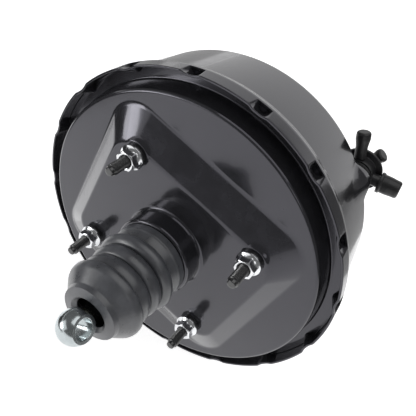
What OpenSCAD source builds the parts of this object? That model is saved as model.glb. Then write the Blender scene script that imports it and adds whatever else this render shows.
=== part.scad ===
// Vacuum brake booster, single diaphragm, with its control valve and rod.
// The booster axis is Y: the pedal rod points to -Y, the master cylinder side to +Y, +Z is up.
// The origin is the centre of the plane that the firewall touches, at the seats of the stud collars.

/* [Shells] */
// Thickness of the sheet steel
sheet_t = 1.6; // [1.2:0.1:2]
// Outside diameter of the crimped band
band_d = 246.6; // [243:0.2:255]
// How much smaller the front shell's wall is than the band, in radius
band_step = 3.4; // [2.6:0.1:4]
// Length of the slope from the band down to the front shell's wall
step_l = 7; // [5:0.5:9]
// Draft of the front shell's wall over its depth, in radius
wall_draft = 4.6; // [1:0.2:6]
// Distance from the band's outside in to the edge of the rear face
groove_w = 13.4; // [10:0.2:16]
// Height of the rear shell's side wall
side_h = 16.8; // [15:0.2:24]
// Flare of the rear shell's side wall, in radius
side_flare = 2.1; // [0.5:0.1:3]
// Depth from the clamped flange to the front face
front_depth = 69.3; // [65:0.1:80]
// Rounding of the front shell's shoulder
shoulder_r = 9; // [5:0.5:14]
// How far the band reaches behind the clamped flange
band_reach = 10.2; // [7:0.2:11]
// Thickness of the diaphragm bead's foot between the shells
bead_t = 2.2; // [1.6:0.1:3]

/* [Crimp tabs] */
// Number of lanced tabs round the band
tab_n = 16; // [12:1:20]
// Angle of the first tab from the X axis
tab_phase = 1.9; // [0:0.1:22]
// Width of a tab at its torn front edge
tab_w = 10.6; // [8:0.2:13]
// Width of a tab at the band's rear edge
tab_root_w = 14.4; // [13:0.2:20]
// How deep the torn front edge is pressed in
tab_depth = 5; // [4:0.2:6]
// How deep the rear edge dips at a tab
tab_dip = 1.2; // [0.8:0.1:2]

/* [Mounting pad] */
// How far the pad's flat top reaches past the studs along X
pad_margin_x = 16.4; // [14:0.2:18]
// How far the pad's flat top reaches past the studs along Z
pad_margin_z = 6.1; // [5.6:0.1:8]
// Half length of the pad's foot along X, as a share of the rear face's radius
pad_foot_share_x = 0.7355; // [0.7:0.0005:0.76]
// Half length of the pad's foot along Z, as a share of the rear face's radius
pad_foot_share_z = 0.7; // [0.66:0.005:0.72]
// How far the pad rises above the rear face
pad_rise = 9.6; // [8:0.2:12]
// Corner rounding at the pad's foot
pad_foot_r = 24; // [16:1:30]
// Corner rounding at the pad's top
pad_top_r = 15; // [10:1:20]

/* [Firewall studs] */
// Spacing of the studs along X
stud_pitch_x = 101.2; // [98:0.2:104]
// Spacing of the studs along Z
stud_pitch_z = 94.6; // [92:0.2:97]
// Diameter of the stud thread
stud_d = 8; // [6:2:8]
// How far the studs reach past the mounting plane
stud_reach = 23.5; // [18:0.5:30]
// Outside diameter of the stud collars
collar_d = 16.8; // [15:0.2:18]
// Height of the stud collars above the pad
collar_h = 2.8; // [2:0.2:5]
// Width of the nuts across their flats
nut_af = 13; // [13:0.5:14]
// Height of the nuts
nut_h = 8; // [6.5:0.5:9]
// Diameter of the nuts' flange
nut_flange_d = 17.9; // [17:0.1:19]

/* [Neck and boot] */
// Outside diameter of the neck tube
neck_d = 59; // [57:0.5:62]
// How far the neck stands out from the pad
neck_reach = 16; // [13:0.5:17]
// Bend between the neck and the pad
neck_fillet = 5; // [3:0.5:7]
// Wall of the rubber boot
boot_t = 2; // [1.6:0.1:2.4]
// Diameter of the boot's cuff
cuff_d = 55; // [54:0.2:56]
// Diameter of the boot's ridge next to the cuff
ridge1_d = 58.6; // [56:0.2:60]
// Diameter of the boot's middle ridge
ridge2_d = 54.2; // [53:0.2:58]
// Diameter of the boot's ridge next to the nose
ridge3_d = 52.8; // [52:0.2:58]
// Distance from ridge to ridge
ridge_pitch = 10.5; // [9.5:0.1:11]
// Diameter of the boot's nose barrel
nose_d = 56.8; // [54:0.2:60]
// Diameter of the step on the nose cone
nose_step_d = 39; // [36:0.5:42]
// Diameter of the opening round the rod
nose_hole_d = 24.4; // [24.4:0.2:28]

/* [Input rod] */
// Diameter of the input rod
rod_d = 11; // [9:0.5:11]
// Diameter of the ball eye
ball_d = 23; // [21:0.5:25]
// Diameter of the cross hole in the eye
eye_d = 12.7; // [10:0.1:13]
// Width of the eye across its flats
eye_w = 14.8; // [13:0.2:17]
// Angle of the cross hole from the X axis
eye_angle = 43; // [0:1:90]
// Distance from the mounting plane to the eye's centre
eye_reach = 86.5; // [86:0.5:96]
// Diameter of the ball at the rod's hidden end
tip_d = 13; // [12.6:0.2:13.6]

/* [Piston] */
// Travel of the power piston
piston_stroke = 28; // [24:1:28]
// Diameter of the valve body's tail tube
tail_d = 43; // [42:0.2:44]
// Bore of the tail tube
tail_bore_d = 36; // [35:0.2:37]
// Diameter of the valve body's hub
hub_d = 66; // [62:1:70]
// Diameter of the valve plunger
plunger_d = 18; // [17:0.2:19]
// Room between the support plate and the shell's wall for the diaphragm's rolling fold
roll_room = 13.2; // [12:0.2:17]
// Thickness of the support plate
plate_t = 1.5; // [1.2:0.1:2]
// Thickness of the diaphragm
skin_t = 1.6; // [1.2:0.1:2]
// Diameter of the output rod
out_rod_d = 12; // [10:0.5:12]
// How far the output rod stands out of the front pad
out_rod_reach = 4; // [2:0.5:10]
// Diameter of the reaction disc
disc_d = 28; // [24:0.5:30]
// Thickness of the reaction disc
disc_t = 9; // [7:0.5:9]
// Travel of the rod and plunger ahead of the piston that opens the air valve
valve_lift = 2; // [1.5:0.1:2]
// Wire diameter of the main return spring
main_wire = 3.4; // [2.8:0.1:3.8]
// Turns of the main return spring
main_turns = 4.5; // [3.5:0.5:4.5]

/* [Front pad] */
// Diameter of the raised front pad
hub_pad_d = 112; // [106:1:116]
// How far the front pad rises above the front face
hub_pad_rise = 4; // [2:0.5:6]
// Bore for the master cylinder's spigot
spigot_d = 42; // [38:0.5:44]
// Depth of the spigot bore
spigot_depth = 9; // [8:0.5:10]
// Distance between the two master cylinder studs
mc_pitch = 86; // [82:0.5:90]
// How far the master cylinder studs stand out
mc_reach = 24; // [18:0.5:30]
// Thickness of the reinforcement plates behind the studs
plate_in_t = 2.5; // [2:0.1:3]

/* [Check valve] */
// Distance from the band's outside in to the check valve's axis
cv_inset = 16.4; // [16:0.2:20]
// Angle of the check valve from the X axis
cv_angle = 51.3; // [45:0.5:60]
// Radius of the bulged boss under the valve
cv_boss_r = 13; // [12.6:0.2:15]
// Diameter of the check valve's rim
cv_d = 33; // [31:0.5:36]
// Diameter of the check valve's body under the rim
cv_neck_d = 24; // [23:0.5:25]
// Height of the check valve's body from its base to the rim
cv_neck_h = 9.6; // [9.6:0.2:11]
// Height of the check valve's rim
cv_rim_h = 3.4; // [3:0.2:5]
// Diameter of the valve's spigot
cv_spigot_d = 15; // [13:0.2:16]
// Outside diameter of a slim port
slim_port_d = 6.8; // [6:0.2:7.6]
// Outside diameter of the wide port
wide_port_d = 9.2; // [8:0.2:9.4]
// Direction of the slim side port from the X axis
slim_angle = 117.5; // [115:0.5:130]
// Direction of the wide port from the X axis
wide_angle = 20; // [5:0.5:25]
// Direction of the top port from the X axis
top_angle = 73; // [60:0.5:90]

/* [Hidden] */
$fn = 72;

// Named clearances, and how far a cutting tool reaches past the metal it cuts
seat_gap = 0.3;
running_gap = 0.05;
press_gap = 0.1;
core_gap = 0.2;
over = 2;

// Levels along the booster axis
face_y = collar_h + pad_rise;
flange_y = face_y + side_h;
flange_front_y = flange_y + sheet_t;
band_back_y = flange_y - band_reach;
window_y = flange_y - seat_gap;
slope_y = flange_front_y + 2 * seat_gap;
shelf_y = flange_front_y + bead_t;
front_y = flange_y + front_depth;
pad_front_y = front_y + hub_pad_rise;
ring_back_y = pad_front_y - sheet_t - press_gap - plate_in_t;
neck_back_y = collar_h - neck_reach;
stud_plate_y = collar_h + sheet_t + seat_gap;

// Radii shared by several pieces, with the turned-in neck lip and the seal's width round the output rod
neck_lip = 3.1;
seal_w = 9.5;
band_r = band_d / 2;
wall_r = band_r - band_step;
slope_turn = tan(atan(band_step / step_l) / 2);
shoulder_wall_r = wall_r - wall_draft;
face_r = band_r - groove_w;
side_r = face_r + side_flare;
flange_r = band_r - sheet_t - seat_gap;
neck_r = neck_d / 2;
neck_in_r = neck_r - sheet_t;
lip_r = neck_in_r - neck_lip;
tail_r = tail_d / 2;
tail_bore_r = tail_bore_d / 2;
rod_r = rod_d / 2;
out_rod_r = out_rod_d / 2;
spigot_r = spigot_d / 2;
stud_hole_r = stud_d / 2 + press_gap;
seal_hole_r = out_rod_r + seal_w;
shell_bend = 2.2;
face_bend = 4;

// Tabs: steps across one, lap over the window's edges and drop under the band's surface
tab_steps = 6;
tab_lap = 0.4;
tab_drop = 0.15;

// Half sizes of the pad at its flat top and at its foot
pad_top_x = stud_pitch_x / 2 + pad_margin_x;
pad_top_z = stud_pitch_z / 2 + pad_margin_z;
pad_foot_x = face_r * pad_foot_share_x;
pad_foot_z = face_r * pad_foot_share_z;
pad_slope_x = pad_foot_x - pad_top_x;
pad_slope_z = pad_foot_z - pad_top_z;

// Control valve: the rod's hidden ball, the plunger and the poppet
tip_y = 10;
socket_depth = 10;
seat_w = 2;
poppet_l = 17;
tip_r = tip_d / 2;
plunger_r = plunger_d / 2;
plunger_seat_y = tip_y - socket_depth;
seat_ring_r = plunger_r + seat_w;
poppet_y = plunger_seat_y - seat_gap;
poppet_t = 1.4;
retainer_y = poppet_y - poppet_l;
retainer_t = 1.4;
retainer_wall_r = 12.6;

// Key through the hub and the plunger's neck
key_ahead = 12.4;
key_y = tip_y + key_ahead;
key_t = 2.5;
key_w = 15;
key_neck_r = 6.4;
key_room = valve_lift + 2 * seat_gap;
plunger_nose = 2;
plunger_front_y = key_y + key_t + key_room + plunger_nose;

// Hub, reaction disc and the head of the output rod
disc_y = plunger_front_y + valve_lift + seat_gap;
disc_r = disc_d / 2;
out_head_y = disc_y + disc_t + running_gap;
out_head_t = 4;
hub_r = hub_d / 2;
hub_step = 9;
hub_nose_r = hub_r - hub_step;
hub_rest = 1.8;
hub_back_y = face_y + hub_rest;
spring_spare = 2;
stroke_room = piston_stroke + main_turns * main_wire + spring_spare;
hub_front_y = ring_back_y - stroke_room;
cup_t = 1.2;
vent_r = 1.9;
vent_at_r = (disc_r + tail_bore_r) / 2 + seat_gap;

// Support plate and diaphragm, from the hub out to the rim
bead_w = 3;
bead_depth = 2;
bead_h = 5;
step_r = hub_r - bead_w;
bead_groove_r = step_r - bead_depth;
dish_depth = 5;
dish_w = 8;
rim_h = 12;
plate_hub_y = hub_back_y + bead_h;
plate_rim_y = plate_hub_y + dish_depth;
plate_edge_y = plate_rim_y + rim_h;
plate_bend = 4;
skin_out_r = wall_r - 2 * sheet_t;
plate_r = skin_out_r - roll_room;
dish_in_r = (2 * hub_r + plate_r) / 3;
dish_out_r = dish_in_r + dish_w;

// Tail tube and what is held in it
spring_seat_r = 14.2;
spring_seat_t = 1.4;
rod_way = 5.2;
rod_way_r = rod_r + rod_way;

// Neck bearing
bearing_back = 4.4;
bearing_y = neck_back_y + sheet_t + bearing_back;
bearing_h = 7;

// Boot levels, from the neck's end towards the rod
cuff_l = 7;
barrel_l = 8.2;
cone_l = 9.5;
cuff_y = neck_back_y - seat_gap;
cuff_end_y = cuff_y - cuff_l;
ridge1_y = cuff_end_y - ridge_pitch;
ridge2_y = ridge1_y - ridge_pitch;
ridge3_y = ridge2_y - ridge_pitch;
nose_front_y = ridge3_y - ridge_pitch / 2;
nose_back_y = nose_front_y - barrel_l;
nose_tip_y = nose_back_y - cone_l;
boot_in_r = tail_r + seat_gap;
groove_r = boot_in_r + boot_t;

// Levels of the tail tube's end, the filter, the felt and the rod spring's seat
tail_gap = 1.5;
filter_ring_t = 2.2;
filter_l = 11;
felt_l = 2.6;
seat_room = 3.4;
tail_back_y = nose_back_y + tail_gap;
filter_back_y = tail_back_y + filter_ring_t;
filter_front_y = filter_back_y + filter_l;
felt_front_y = filter_front_y + felt_l;
spring_seat_y = felt_front_y + seat_room;

// Check valve place and levels
cv_r = band_r - cv_inset;
cv_x = cv_r * cos(cv_angle);
cv_z = cv_r * sin(cv_angle);
cv_out_r = cv_d / 2;
cv_neck_r = cv_neck_d / 2;
cv_pipe_r = cv_spigot_d / 2;
cv_flange_t = 1.8;
cv_base_y = front_y + cv_flange_t + press_gap;
cv_base_t = 3;
cv_cover_y = cv_base_y + cv_base_t;
cv_rim_y = cv_cover_y + cv_neck_h;
cv_top_y = cv_rim_y + cv_rim_h;
cv_wall = 2.4;
grommet_t = 2;
cv_hole_r = cv_pipe_r + grommet_t;
cv_chamber_r = cv_neck_r - cv_wall;
cv_port_y = cv_cover_y + cv_neck_h / 2;
cv_turret_r = 7;
cv_disc_t = 1.2;

// Caps: wall and mouth, ports' lengths and their ends from the valve's axis
cap_t = 1.6;
slim_mouth_t = 0.9;
slim_bulb_t = 1.7;
slim_port_l = 22.6;
top_port_l = 9.4;
wide_port_l = 20.9;
slim_r = slim_port_d / 2;
wide_r = wide_port_d / 2;
cv_top_port_y = cv_top_y + 2 * press_gap + slim_bulb_t + slim_r;
cv_turret_y = cv_top_port_y + slim_r + slim_mouth_t;
slim_end = cv_neck_r + slim_port_l;
top_end = cv_turret_r + top_port_l;
wide_end = cv_neck_r + wide_port_l;

// Points of an arc about c, from angle a0 to a1
function arc(c, r, a0, a1, n = 6) =
    [for (i = [0:n]) c + r * [cos(a0 + (a1 - a0) * i / n), sin(a0 + (a1 - a0) * i / n)]];

// Unit normal of a path at point i
function normal(p, i) =
    let (d = p[min(i + 1, len(p) - 1)] - p[max(i - 1, 0)]) [-d[1], d[0]] / norm(d);

// Outline of a sheet of thickness t along the middle line p
function strip(p, t) = concat(
    [for (i = [0:len(p) - 1]) p[i] + normal(p, i) * t / 2],
    [for (i = [len(p) - 1:-1:0]) p[i] - normal(p, i) * t / 2]);

// Outline of a rectangle with round corners
function round_rect(hx, hz, r) = concat(
    arc([hx - r, hz - r], r, 0, 90), arc([r - hx, hz - r], r, 90, 180),
    arc([r - hx, r - hz], r, 180, 270), arc([hx - r, r - hz], r, 270, 360));

// Points round one ring of a coil at angle a, on a radius and at a level
function coil_ring(a, radius, level, wire_r, sides) =
    [for (k = [0:sides - 1]) let (b = 360 * k / sides, q = radius + wire_r * cos(b))
        [q * cos(a), q * sin(a), level + wire_r * sin(b)]];

// Turns a shape made along +Z so that it lies along +Y, at the level y
module along_y(y = 0) {
    translate([0, y, 0]) rotate([-90, 0, 0]) children();
}

// Solid of revolution about the booster axis from points [radius, y]
module turned(points) {
    rotate([-90, 0, 0]) rotate_extrude() polygon(points);
}

// Plain ring about the booster axis between two levels
module ring(r_in, r_out, y0, y1) {
    turned([[r_in, y0], [r_out, y0], [r_out, y1], [r_in, y1]]);
}

// Straight round bar along Y
module bar(r, y0, y1) {
    along_y(y0) cylinder(r = r, h = y1 - y0);
}

// Solid skin through a list of rings of points, closed at both ends
module loft(rings) {
    n = len(rings[0]);
    last = (len(rings) - 1) * n;
    walls = [for (i = [0:len(rings) - 2], k = [0:n - 1]) let (m = (k + 1) % n)
        [i * n + k, i * n + m, (i + 1) * n + m, (i + 1) * n + k]];
    ends = [[for (k = [n - 1:-1:0]) k], [for (k = [0:n - 1]) last + k]];
    polyhedron([for (points = rings) each points], concat(walls, ends), convexity = 10);
}

// Coil spring with closer turns at its ends, its radius going from r0 to r1
module coil(r0, r1, y0, y1, turns, wire, per_turn = 18, sides = 8) {
    n = turns * per_turn;
    low = y0 + wire / 2;
    high = y1 - wire / 2;
    closing = 0.35;
    rotate([-90, 0, 0]) loft([for (i = [0:n]) let (u = i / n)
        coil_ring(360 * turns * u, r0 + (r1 - r0) * u,
                  low + (high - low) * (u - closing * sin(360 * u) / (2 * PI)), wire / 2, sides)]);
}

// Repeats a shape at the four firewall studs
module at_studs() {
    for (sx = [-1, 1], sz = [-1, 1])
        translate([sx * stud_pitch_x / 2, 0, sz * stud_pitch_z / 2]) children();
}

// Repeats a shape at the two master cylinder studs
module at_mc_studs() {
    for (sx = [-1, 1]) translate([sx * mc_pitch / 2, 0, 0]) children();
}

// Repeats a shape at the four air passages of the hub
module at_vents() {
    for (a = [45:90:315]) rotate([0, a, 0]) translate([vent_at_r, 0, 0]) children();
}

// Moves a shape to the check valve's axis
module at_check_valve() {
    translate([cv_x, 0, cv_z]) children();
}

// Lays a shape made along +Z along a port of the check valve
module along_port(angle, y, start) {
    at_check_valve() translate([0, y, 0]) rotate([0, 90 - angle, 0]) translate([0, 0, start]) children();
}

// Round bar along a port of the check valve, from one distance to another
module port(angle, y, start, end, r) {
    along_port(angle, y, start) cylinder(r = r, h = end - start);
}

// Flat rounded plate square to the booster axis
module plate(hx, hz, r, y0, y1) {
    along_y(y0) linear_extrude(y1 - y0) polygon(round_rect(hx, hz, r));
}

// Front shell outline, g inside the outer surface
function front_outline(g) =
    let (back = band_back_y - (g > 0 ? over : 0), pad_r = hub_pad_d / 2 - g / 2)
    concat(
        [[0, pad_front_y - g], [pad_r, pad_front_y - g], [pad_r + hub_pad_rise * 1.5, front_y - g]],
        arc([shoulder_wall_r - shoulder_r, front_y - shoulder_r], shoulder_r - g, 90, 0, 8),
        [[wall_r - g, slope_y + step_l - g * slope_turn], [band_r - g, slope_y - g * slope_turn],
         [band_r - g, back], [0, back]]);

// Cup for the master cylinder's spigot, drawn into the front pad
module spigot_cup() {
    floor_y = pad_front_y - spigot_depth;
    out_r = spigot_r + sheet_t;
    turned([[out_r, pad_front_y], [spigot_r, pad_front_y], [spigot_r, floor_y], [seal_hole_r, floor_y],
            [seal_hole_r, floor_y - sheet_t], [out_r, floor_y - sheet_t]]);
}

// Half the width of a tab at the level y
function tab_half(y) =
    (tab_root_w + (tab_w - tab_root_w) * (y - band_back_y) / (window_y - band_back_y)) / 2;

// Outline of a window in the band, standing at the top before it is turned to its place
module window_outline() {
    start = band_back_y - over;
    half = tab_half(start);
    polygon([[-half, start], [half, start], [tab_w / 2, window_y], [-tab_w / 2, window_y]]);
}

// Places a shape drawn on the band at each lanced tab
module at_tabs() {
    for (i = [0:tab_n - 1]) rotate([0, 90 - tab_phase - i * 360 / tab_n, 0]) children();
}

// Ring of points round a tab at the share v of its length: outer skin, then inner skin
function tab_ring(v) =
    let (y = band_back_y + tab_drop + v * (window_y - seat_gap - band_back_y - tab_drop),
         half = tab_half(y) + tab_lap,
         depth = tab_dip + (tab_depth - tab_dip) * v,
         skin = [for (i = [0:tab_steps]) let (u = 1 - 2 * i / tab_steps, x = u * half)
             [x, y, sqrt(band_r * band_r - x * x) - tab_drop - depth * pow(1 - pow(abs(u), 3), 2)]])
    concat(skin, [for (i = [tab_steps:-1:0]) skin[i] - [0, 0, sheet_t]]);

// Bulge in the front shell's shoulder that gives the check valve a flat seat
module valve_boss(g) {
    low = front_y - 30;
    r = cv_boss_r - g;
    edge = 0.9;
    at_check_valve() turned([[0, low - g], [r - 6, low - g], [r, front_y - 8], [r, front_y - 3],
                             [r - edge, front_y - edge], [r + g / 2 - 3, front_y - g], [0, front_y - g]]);
}

// Front shell: drawn cup with crimp band, tabs, valve boss, front pad and spigot cup
module front_shell() {
    color("#202024") {
        difference() {
            union() {
                turned(front_outline(0));
                valve_boss(0);
            }
            turned(front_outline(sheet_t));
            valve_boss(sheet_t);
            bar(spigot_r + sheet_t, pad_front_y - spigot_depth, pad_front_y + over);
            at_check_valve() bar(cv_hole_r, front_y - shoulder_r, front_y + over);
            at_mc_studs() bar(stud_hole_r, front_y - over, pad_front_y + over);
            at_tabs() translate([0, 0, band_r - sheet_t - over])
                linear_extrude(sheet_t + 2 * over) window_outline();
        }
        spigot_cup();
        at_tabs() loft([for (v = [0:0.5:1]) tab_ring(v)]);
    }
}

// Rear shell outline, g inside the outer surface
function rear_outline(g) = concat(
    [[0, face_y + g]],
    arc([face_r - face_bend, face_y + face_bend], face_bend - g, -90, 0),
    g > 0 ? [[side_r - g, flange_front_y + over], [0, flange_front_y + over]]
          : [[side_r, flange_y], [flange_r, flange_y], [flange_r, flange_front_y], [0, flange_front_y]]);

// The pad's solid block, g inside the outer surface
module pad_block(g) {
    skin = 0.2;
    hull() {
        plate(pad_foot_x - g, pad_foot_z - g, pad_foot_r - g, face_y + g, face_y + g + skin);
        plate(pad_top_x - g, pad_top_z - g, pad_top_r - g, collar_h + g, collar_h + g + skin);
    }
}

// Neck tube with its root bend and turned-in lip
module neck_tube() {
    root = [neck_r + neck_fillet, collar_h - neck_fillet];
    bend = [neck_r - shell_bend, neck_back_y + shell_bend];
    turned(concat(
        arc(root, neck_fillet, 90, 180),
        arc(bend, shell_bend, 0, -90, 4),
        [[lip_r, neck_back_y], [lip_r, neck_back_y + sheet_t]],
        arc(bend, shell_bend - sheet_t, -90, 0, 4),
        arc(root, neck_fillet + sheet_t, 180, 90)));
}

// Rear shell: shallow cup with side wall, flange, mounting pad and neck
module rear_shell() {
    boss_r = collar_d / 2 + 2;
    boss_flare = 4;
    boss_h = 6;
    color("#202024") {
        difference() {
            union() {
                turned(rear_outline(0));
                pad_block(0);
                at_studs() along_y(collar_h) cylinder(r1 = boss_r, r2 = boss_r + boss_flare, h = boss_h);
            }
            turned(rear_outline(sheet_t));
            pad_block(sheet_t);
            bar(neck_r + neck_fillet, collar_h - over, face_y + over);
            at_studs() bar(stud_hole_r, collar_h - over, face_y + over);
        }
        neck_tube();
    }
}

// Firewall studs: head behind the plate, shank, free thread and dog point
module firewall_studs() {
    head_y = stud_plate_y + plate_in_t + press_gap;
    head_t = 2.4;
    free_y = -nut_h - press_gap;
    r = stud_d / 2;
    dog_r = r - 1;
    dog_h = 2;
    color("#1c1c1e") at_studs() {
        bar(r + 2.2, head_y, head_y + head_t);
        bar(r - core_gap, free_y, head_y);
        bar(r, dog_h + 1 - stud_reach, free_y);
        along_y(dog_h - stud_reach) cylinder(r1 = dog_r, r2 = r, h = 1);
        bar(dog_r, -stud_reach, dog_h - stud_reach);
    }
}

// Collars that set the firewall's plane
module stud_collars() {
    edge = 0.5;
    r = collar_d / 2;
    color("#262628") at_studs()
        turned([[stud_hole_r, 0], [r - edge, 0], [r, edge], [r, collar_h], [stud_hole_r, collar_h]]);
}

// Flange nuts on the studs
module flange_nuts() {
    hex_r = nut_af / sqrt(3);
    flat_r = nut_af / 2;
    foot_r = nut_flange_d / 2;
    flange_t = 1.4;
    skirt_h = 1.2;
    chamfer = 0.8;
    color("#d8dadc") at_studs() difference() {
        union() {
            along_y(chamfer - nut_h) rotate([0, 0, 30])
                cylinder(r = hex_r, h = nut_h - chamfer - press_gap, $fn = 6);
            along_y(-nut_h) cylinder(r1 = flat_r - chamfer / 2, r2 = flat_r, h = chamfer);
            bar(foot_r, -flange_t, 0);
            along_y(-flange_t - skirt_h) cylinder(r1 = flat_r, r2 = foot_r - chamfer, h = skirt_h);
        }
        bar(stud_hole_r, -nut_h - over, over);
    }
}

// Reinforcement plate inside the pad that the stud heads bear on, with sloping edges
module stud_plate() {
    y1 = stud_plate_y + plate_in_t;
    inset = sheet_t + seat_gap;
    rise = stud_plate_y - collar_h - sheet_t;
    share = rise / pad_rise;
    skin = 0.2;
    share1 = (y1 - skin - collar_h - sheet_t) / pad_rise;
    pad_round = pad_foot_r - pad_top_r;
    color("#8a8a86") difference() {
        hull() {
            plate(pad_top_x + pad_slope_x * share - inset, pad_top_z + pad_slope_z * share - inset,
                  pad_top_r + pad_round * share - inset, stud_plate_y, stud_plate_y + skin);
            plate(pad_top_x + pad_slope_x * share1 - inset, pad_top_z + pad_slope_z * share1 - inset,
                  pad_top_r + pad_round * share1 - inset, y1 - skin, y1);
        }
        bar(neck_r + neck_fillet + over, stud_plate_y - over, y1 + over);
        at_studs() bar(stud_hole_r, stud_plate_y - over, y1 + over);
    }
}

// Reinforcement ring inside the front pad
module front_ring() {
    y1 = ring_back_y + plate_in_t;
    color("#8a8a86") difference() {
        ring(spigot_r + sheet_t + seat_gap, hub_pad_d / 2 - sheet_t - over, ring_back_y, y1);
        at_mc_studs() bar(stud_hole_r, ring_back_y - over, y1 + over);
    }
}

// Studs for the master cylinder
module master_cylinder_studs() {
    head_y = ring_back_y - press_gap;
    head_t = 2.6;
    r = stud_d / 2;
    tip = 1.2;
    end_y = pad_front_y + mc_reach;
    color("#b4b6b8") at_mc_studs() {
        bar(r + 2.5, head_y - head_t, head_y);
        bar(r - core_gap, head_y, pad_front_y);
        bar(r, pad_front_y, end_y - tip);
        along_y(end_y - tip) cylinder(r1 = r, r2 = r - tip, h = tip);
    }
}

// Rubber seal in the floor of the spigot cup, round the output rod
module front_seal() {
    back = pad_front_y - spigot_depth - sheet_t;
    front = back + sheet_t;
    hole = seal_hole_r - press_gap;
    rod = out_rod_r + running_gap;
    lip_t = 1.4;
    collar = hole + 2.4;
    rim_t = 2.3;
    color("#2a2a2c") turned([
        [rod, back - rim_t], [collar, back - rim_t], [collar, back - press_gap], [hole, back - press_gap],
        [hole, front + press_gap], [collar, front + press_gap], [collar, front + rim_t],
        [hole - 3.5, front + rim_t], [rod + lip_t + 0.8, back + 1], [rod + lip_t, front + over],
        [rod, front + over]]);
}

// Bearing seal in the neck that the tail tube slides through
module neck_bearing() {
    out_r = neck_in_r - press_gap;
    wall_in_r = out_r - 1.4;
    recess = 1.6;
    color("#303034") turned([
        [tail_r + running_gap, bearing_y], [tail_r + over, bearing_y], [tail_r + over, bearing_y + recess],
        [wall_in_r, bearing_y + recess], [wall_in_r, bearing_y], [out_r, bearing_y],
        [out_r, bearing_y + bearing_h], [tail_r + running_gap, bearing_y + bearing_h]]);
}

// Ring that holds the bearing in the neck
module bearing_retainer() {
    y0 = bearing_y + bearing_h + press_gap;
    out_r = neck_in_r - press_gap;
    grip_h = 2.6;
    color("#9a9c9e") turned([
        [tail_r + 1, y0], [out_r, y0], [out_r, y0 + grip_h], [out_r - cup_t, y0 + grip_h],
        [out_r - cup_t, y0 + cup_t], [tail_r + 1, y0 + cup_t]]);
}

// One rounded ridge of the boot from groove to groove, as radii and levels
function ridge(y, r, n = 8) =
    [for (i = [0:n - 1]) let (u = 2 * i / n - 1)
        [groove_r + (r - groove_r) * pow(1 - u * u, 0.55), y - u * ridge_pitch / 2]];

// Hollow inside one ridge of the boot, at the level y under the ridge radius r
module fold(y, r) {
    root_half = 2.6;
    crest_half = 1;
    crest = 0.6;
    turned([[boot_in_r - 1, y - root_half], [r - boot_t - crest, y - crest_half], [r - boot_t, y],
            [r - boot_t - crest, y + crest_half], [boot_in_r - 1, y + root_half]]);
}

// Boot: bead in the neck, cuff, three ridges, nose barrel and cone
module boot() {
    cuff_r = cuff_d / 2;
    nose_r = nose_d / 2;
    nose_step_r = nose_step_d / 2;
    hole_r = nose_hole_d / 2;
    bead_r = lip_r + 1;
    lip_y = neck_back_y + sheet_t;
    waist_r = lip_r - press_gap;
    round_r = 6;
    round_c = [nose_r - round_r, nose_back_y + 3.5];
    outside = concat(
        [[waist_r, cuff_y], [cuff_r, cuff_y], [cuff_r, cuff_end_y + 1.5], [cuff_r - 0.8, cuff_end_y + 0.4],
         [groove_r + 1, cuff_end_y - ridge_pitch / 2 + 1]],
        ridge(ridge1_y, ridge1_d / 2), ridge(ridge2_y, ridge2_d / 2), ridge(ridge3_y, ridge3_d / 2),
        [[groove_r, nose_front_y]],
        arc([nose_r - 3, nose_front_y - 3.4], 3, 80, 0, 4),
        arc(round_c, round_r, 0, -55, 5),
        [[nose_step_r + 0.6, nose_tip_y + 1.6], [nose_step_r, nose_tip_y], [hole_r + 1.2, nose_tip_y - 1],
         [hole_r, nose_tip_y - 0.4]]);
    inside = concat(
        [[hole_r, nose_tip_y + boot_t], [nose_step_r - 1.2, nose_tip_y + boot_t + 0.6]],
        arc(round_c, round_r - boot_t, -55, 0, 4),
        [[nose_r - boot_t, nose_front_y - 4], [boot_in_r, nose_front_y - 2.6], [boot_in_r, lip_y + 2.2],
         [bead_r, lip_y + 1.4], [bead_r, lip_y + press_gap], [waist_r, lip_y + press_gap]]);
    color("#4a4a4c") difference() {
        turned(concat(outside, inside));
        fold(ridge1_y, ridge1_d / 2);
        fold(ridge2_y, ridge2_d / 2);
        fold(ridge3_y, ridge3_d / 2);
    }
}

// Valve body: hub with its step and groove, tail tube, bores, air passages and key slot
module valve_body() {
    seat_r = plunger_r + 3.4;
    seat_out_r = seat_r + 1;
    lip_y = hub_back_y + 1.4;
    step_y = plate_hub_y - seat_gap + press_gap;
    disc_bore_r = disc_r + press_gap;
    bore_r = plunger_r + running_gap;
    color("#2e2b2a") difference() {
        turned([
            [tail_r, tail_back_y], [tail_r, hub_back_y], [step_r, hub_back_y], [step_r, lip_y],
            [bead_groove_r, lip_y], [bead_groove_r, step_y], [step_r, step_y],
            [step_r, plate_hub_y + plate_t + press_gap], [hub_r, plate_hub_y + plate_t + press_gap],
            [hub_r, hub_front_y - 8], [hub_nose_r, hub_front_y - 4], [hub_nose_r, hub_front_y],
            [disc_bore_r, hub_front_y], [disc_bore_r, disc_y - press_gap], [bore_r, disc_y - press_gap],
            [bore_r, tip_y + 2], [seat_r, tip_y + 2], [seat_r, plunger_seat_y],
            [seat_out_r, plunger_seat_y], [seat_out_r, tip_y + 1], [tail_bore_r, tip_y - 1],
            [tail_bore_r, tail_back_y]]);
        at_vents() bar(vent_r, tip_y - over, hub_front_y + over);
        translate([-key_w / 2 - seat_gap, key_y - seat_gap, 1 - key_neck_r - seat_gap])
            cube([key_w + 2 * seat_gap, key_t + 2 * seat_gap, hub_r + key_neck_r + over]);
    }
}

// Support plate for the diaphragm: dished disc with a turned rim
module support_plate() {
    mid = plate_t / 2;
    hole_r = step_r + press_gap;
    color("#a8a59a") turned(strip(concat(
        [[hole_r, plate_hub_y + mid], [dish_in_r, plate_hub_y + mid], [dish_out_r, plate_rim_y + mid]],
        arc([plate_r - plate_bend, plate_rim_y + mid + plate_bend], plate_bend - mid, -90, 0, 5),
        [[plate_r - mid, plate_edge_y]]), plate_t));
}

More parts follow.
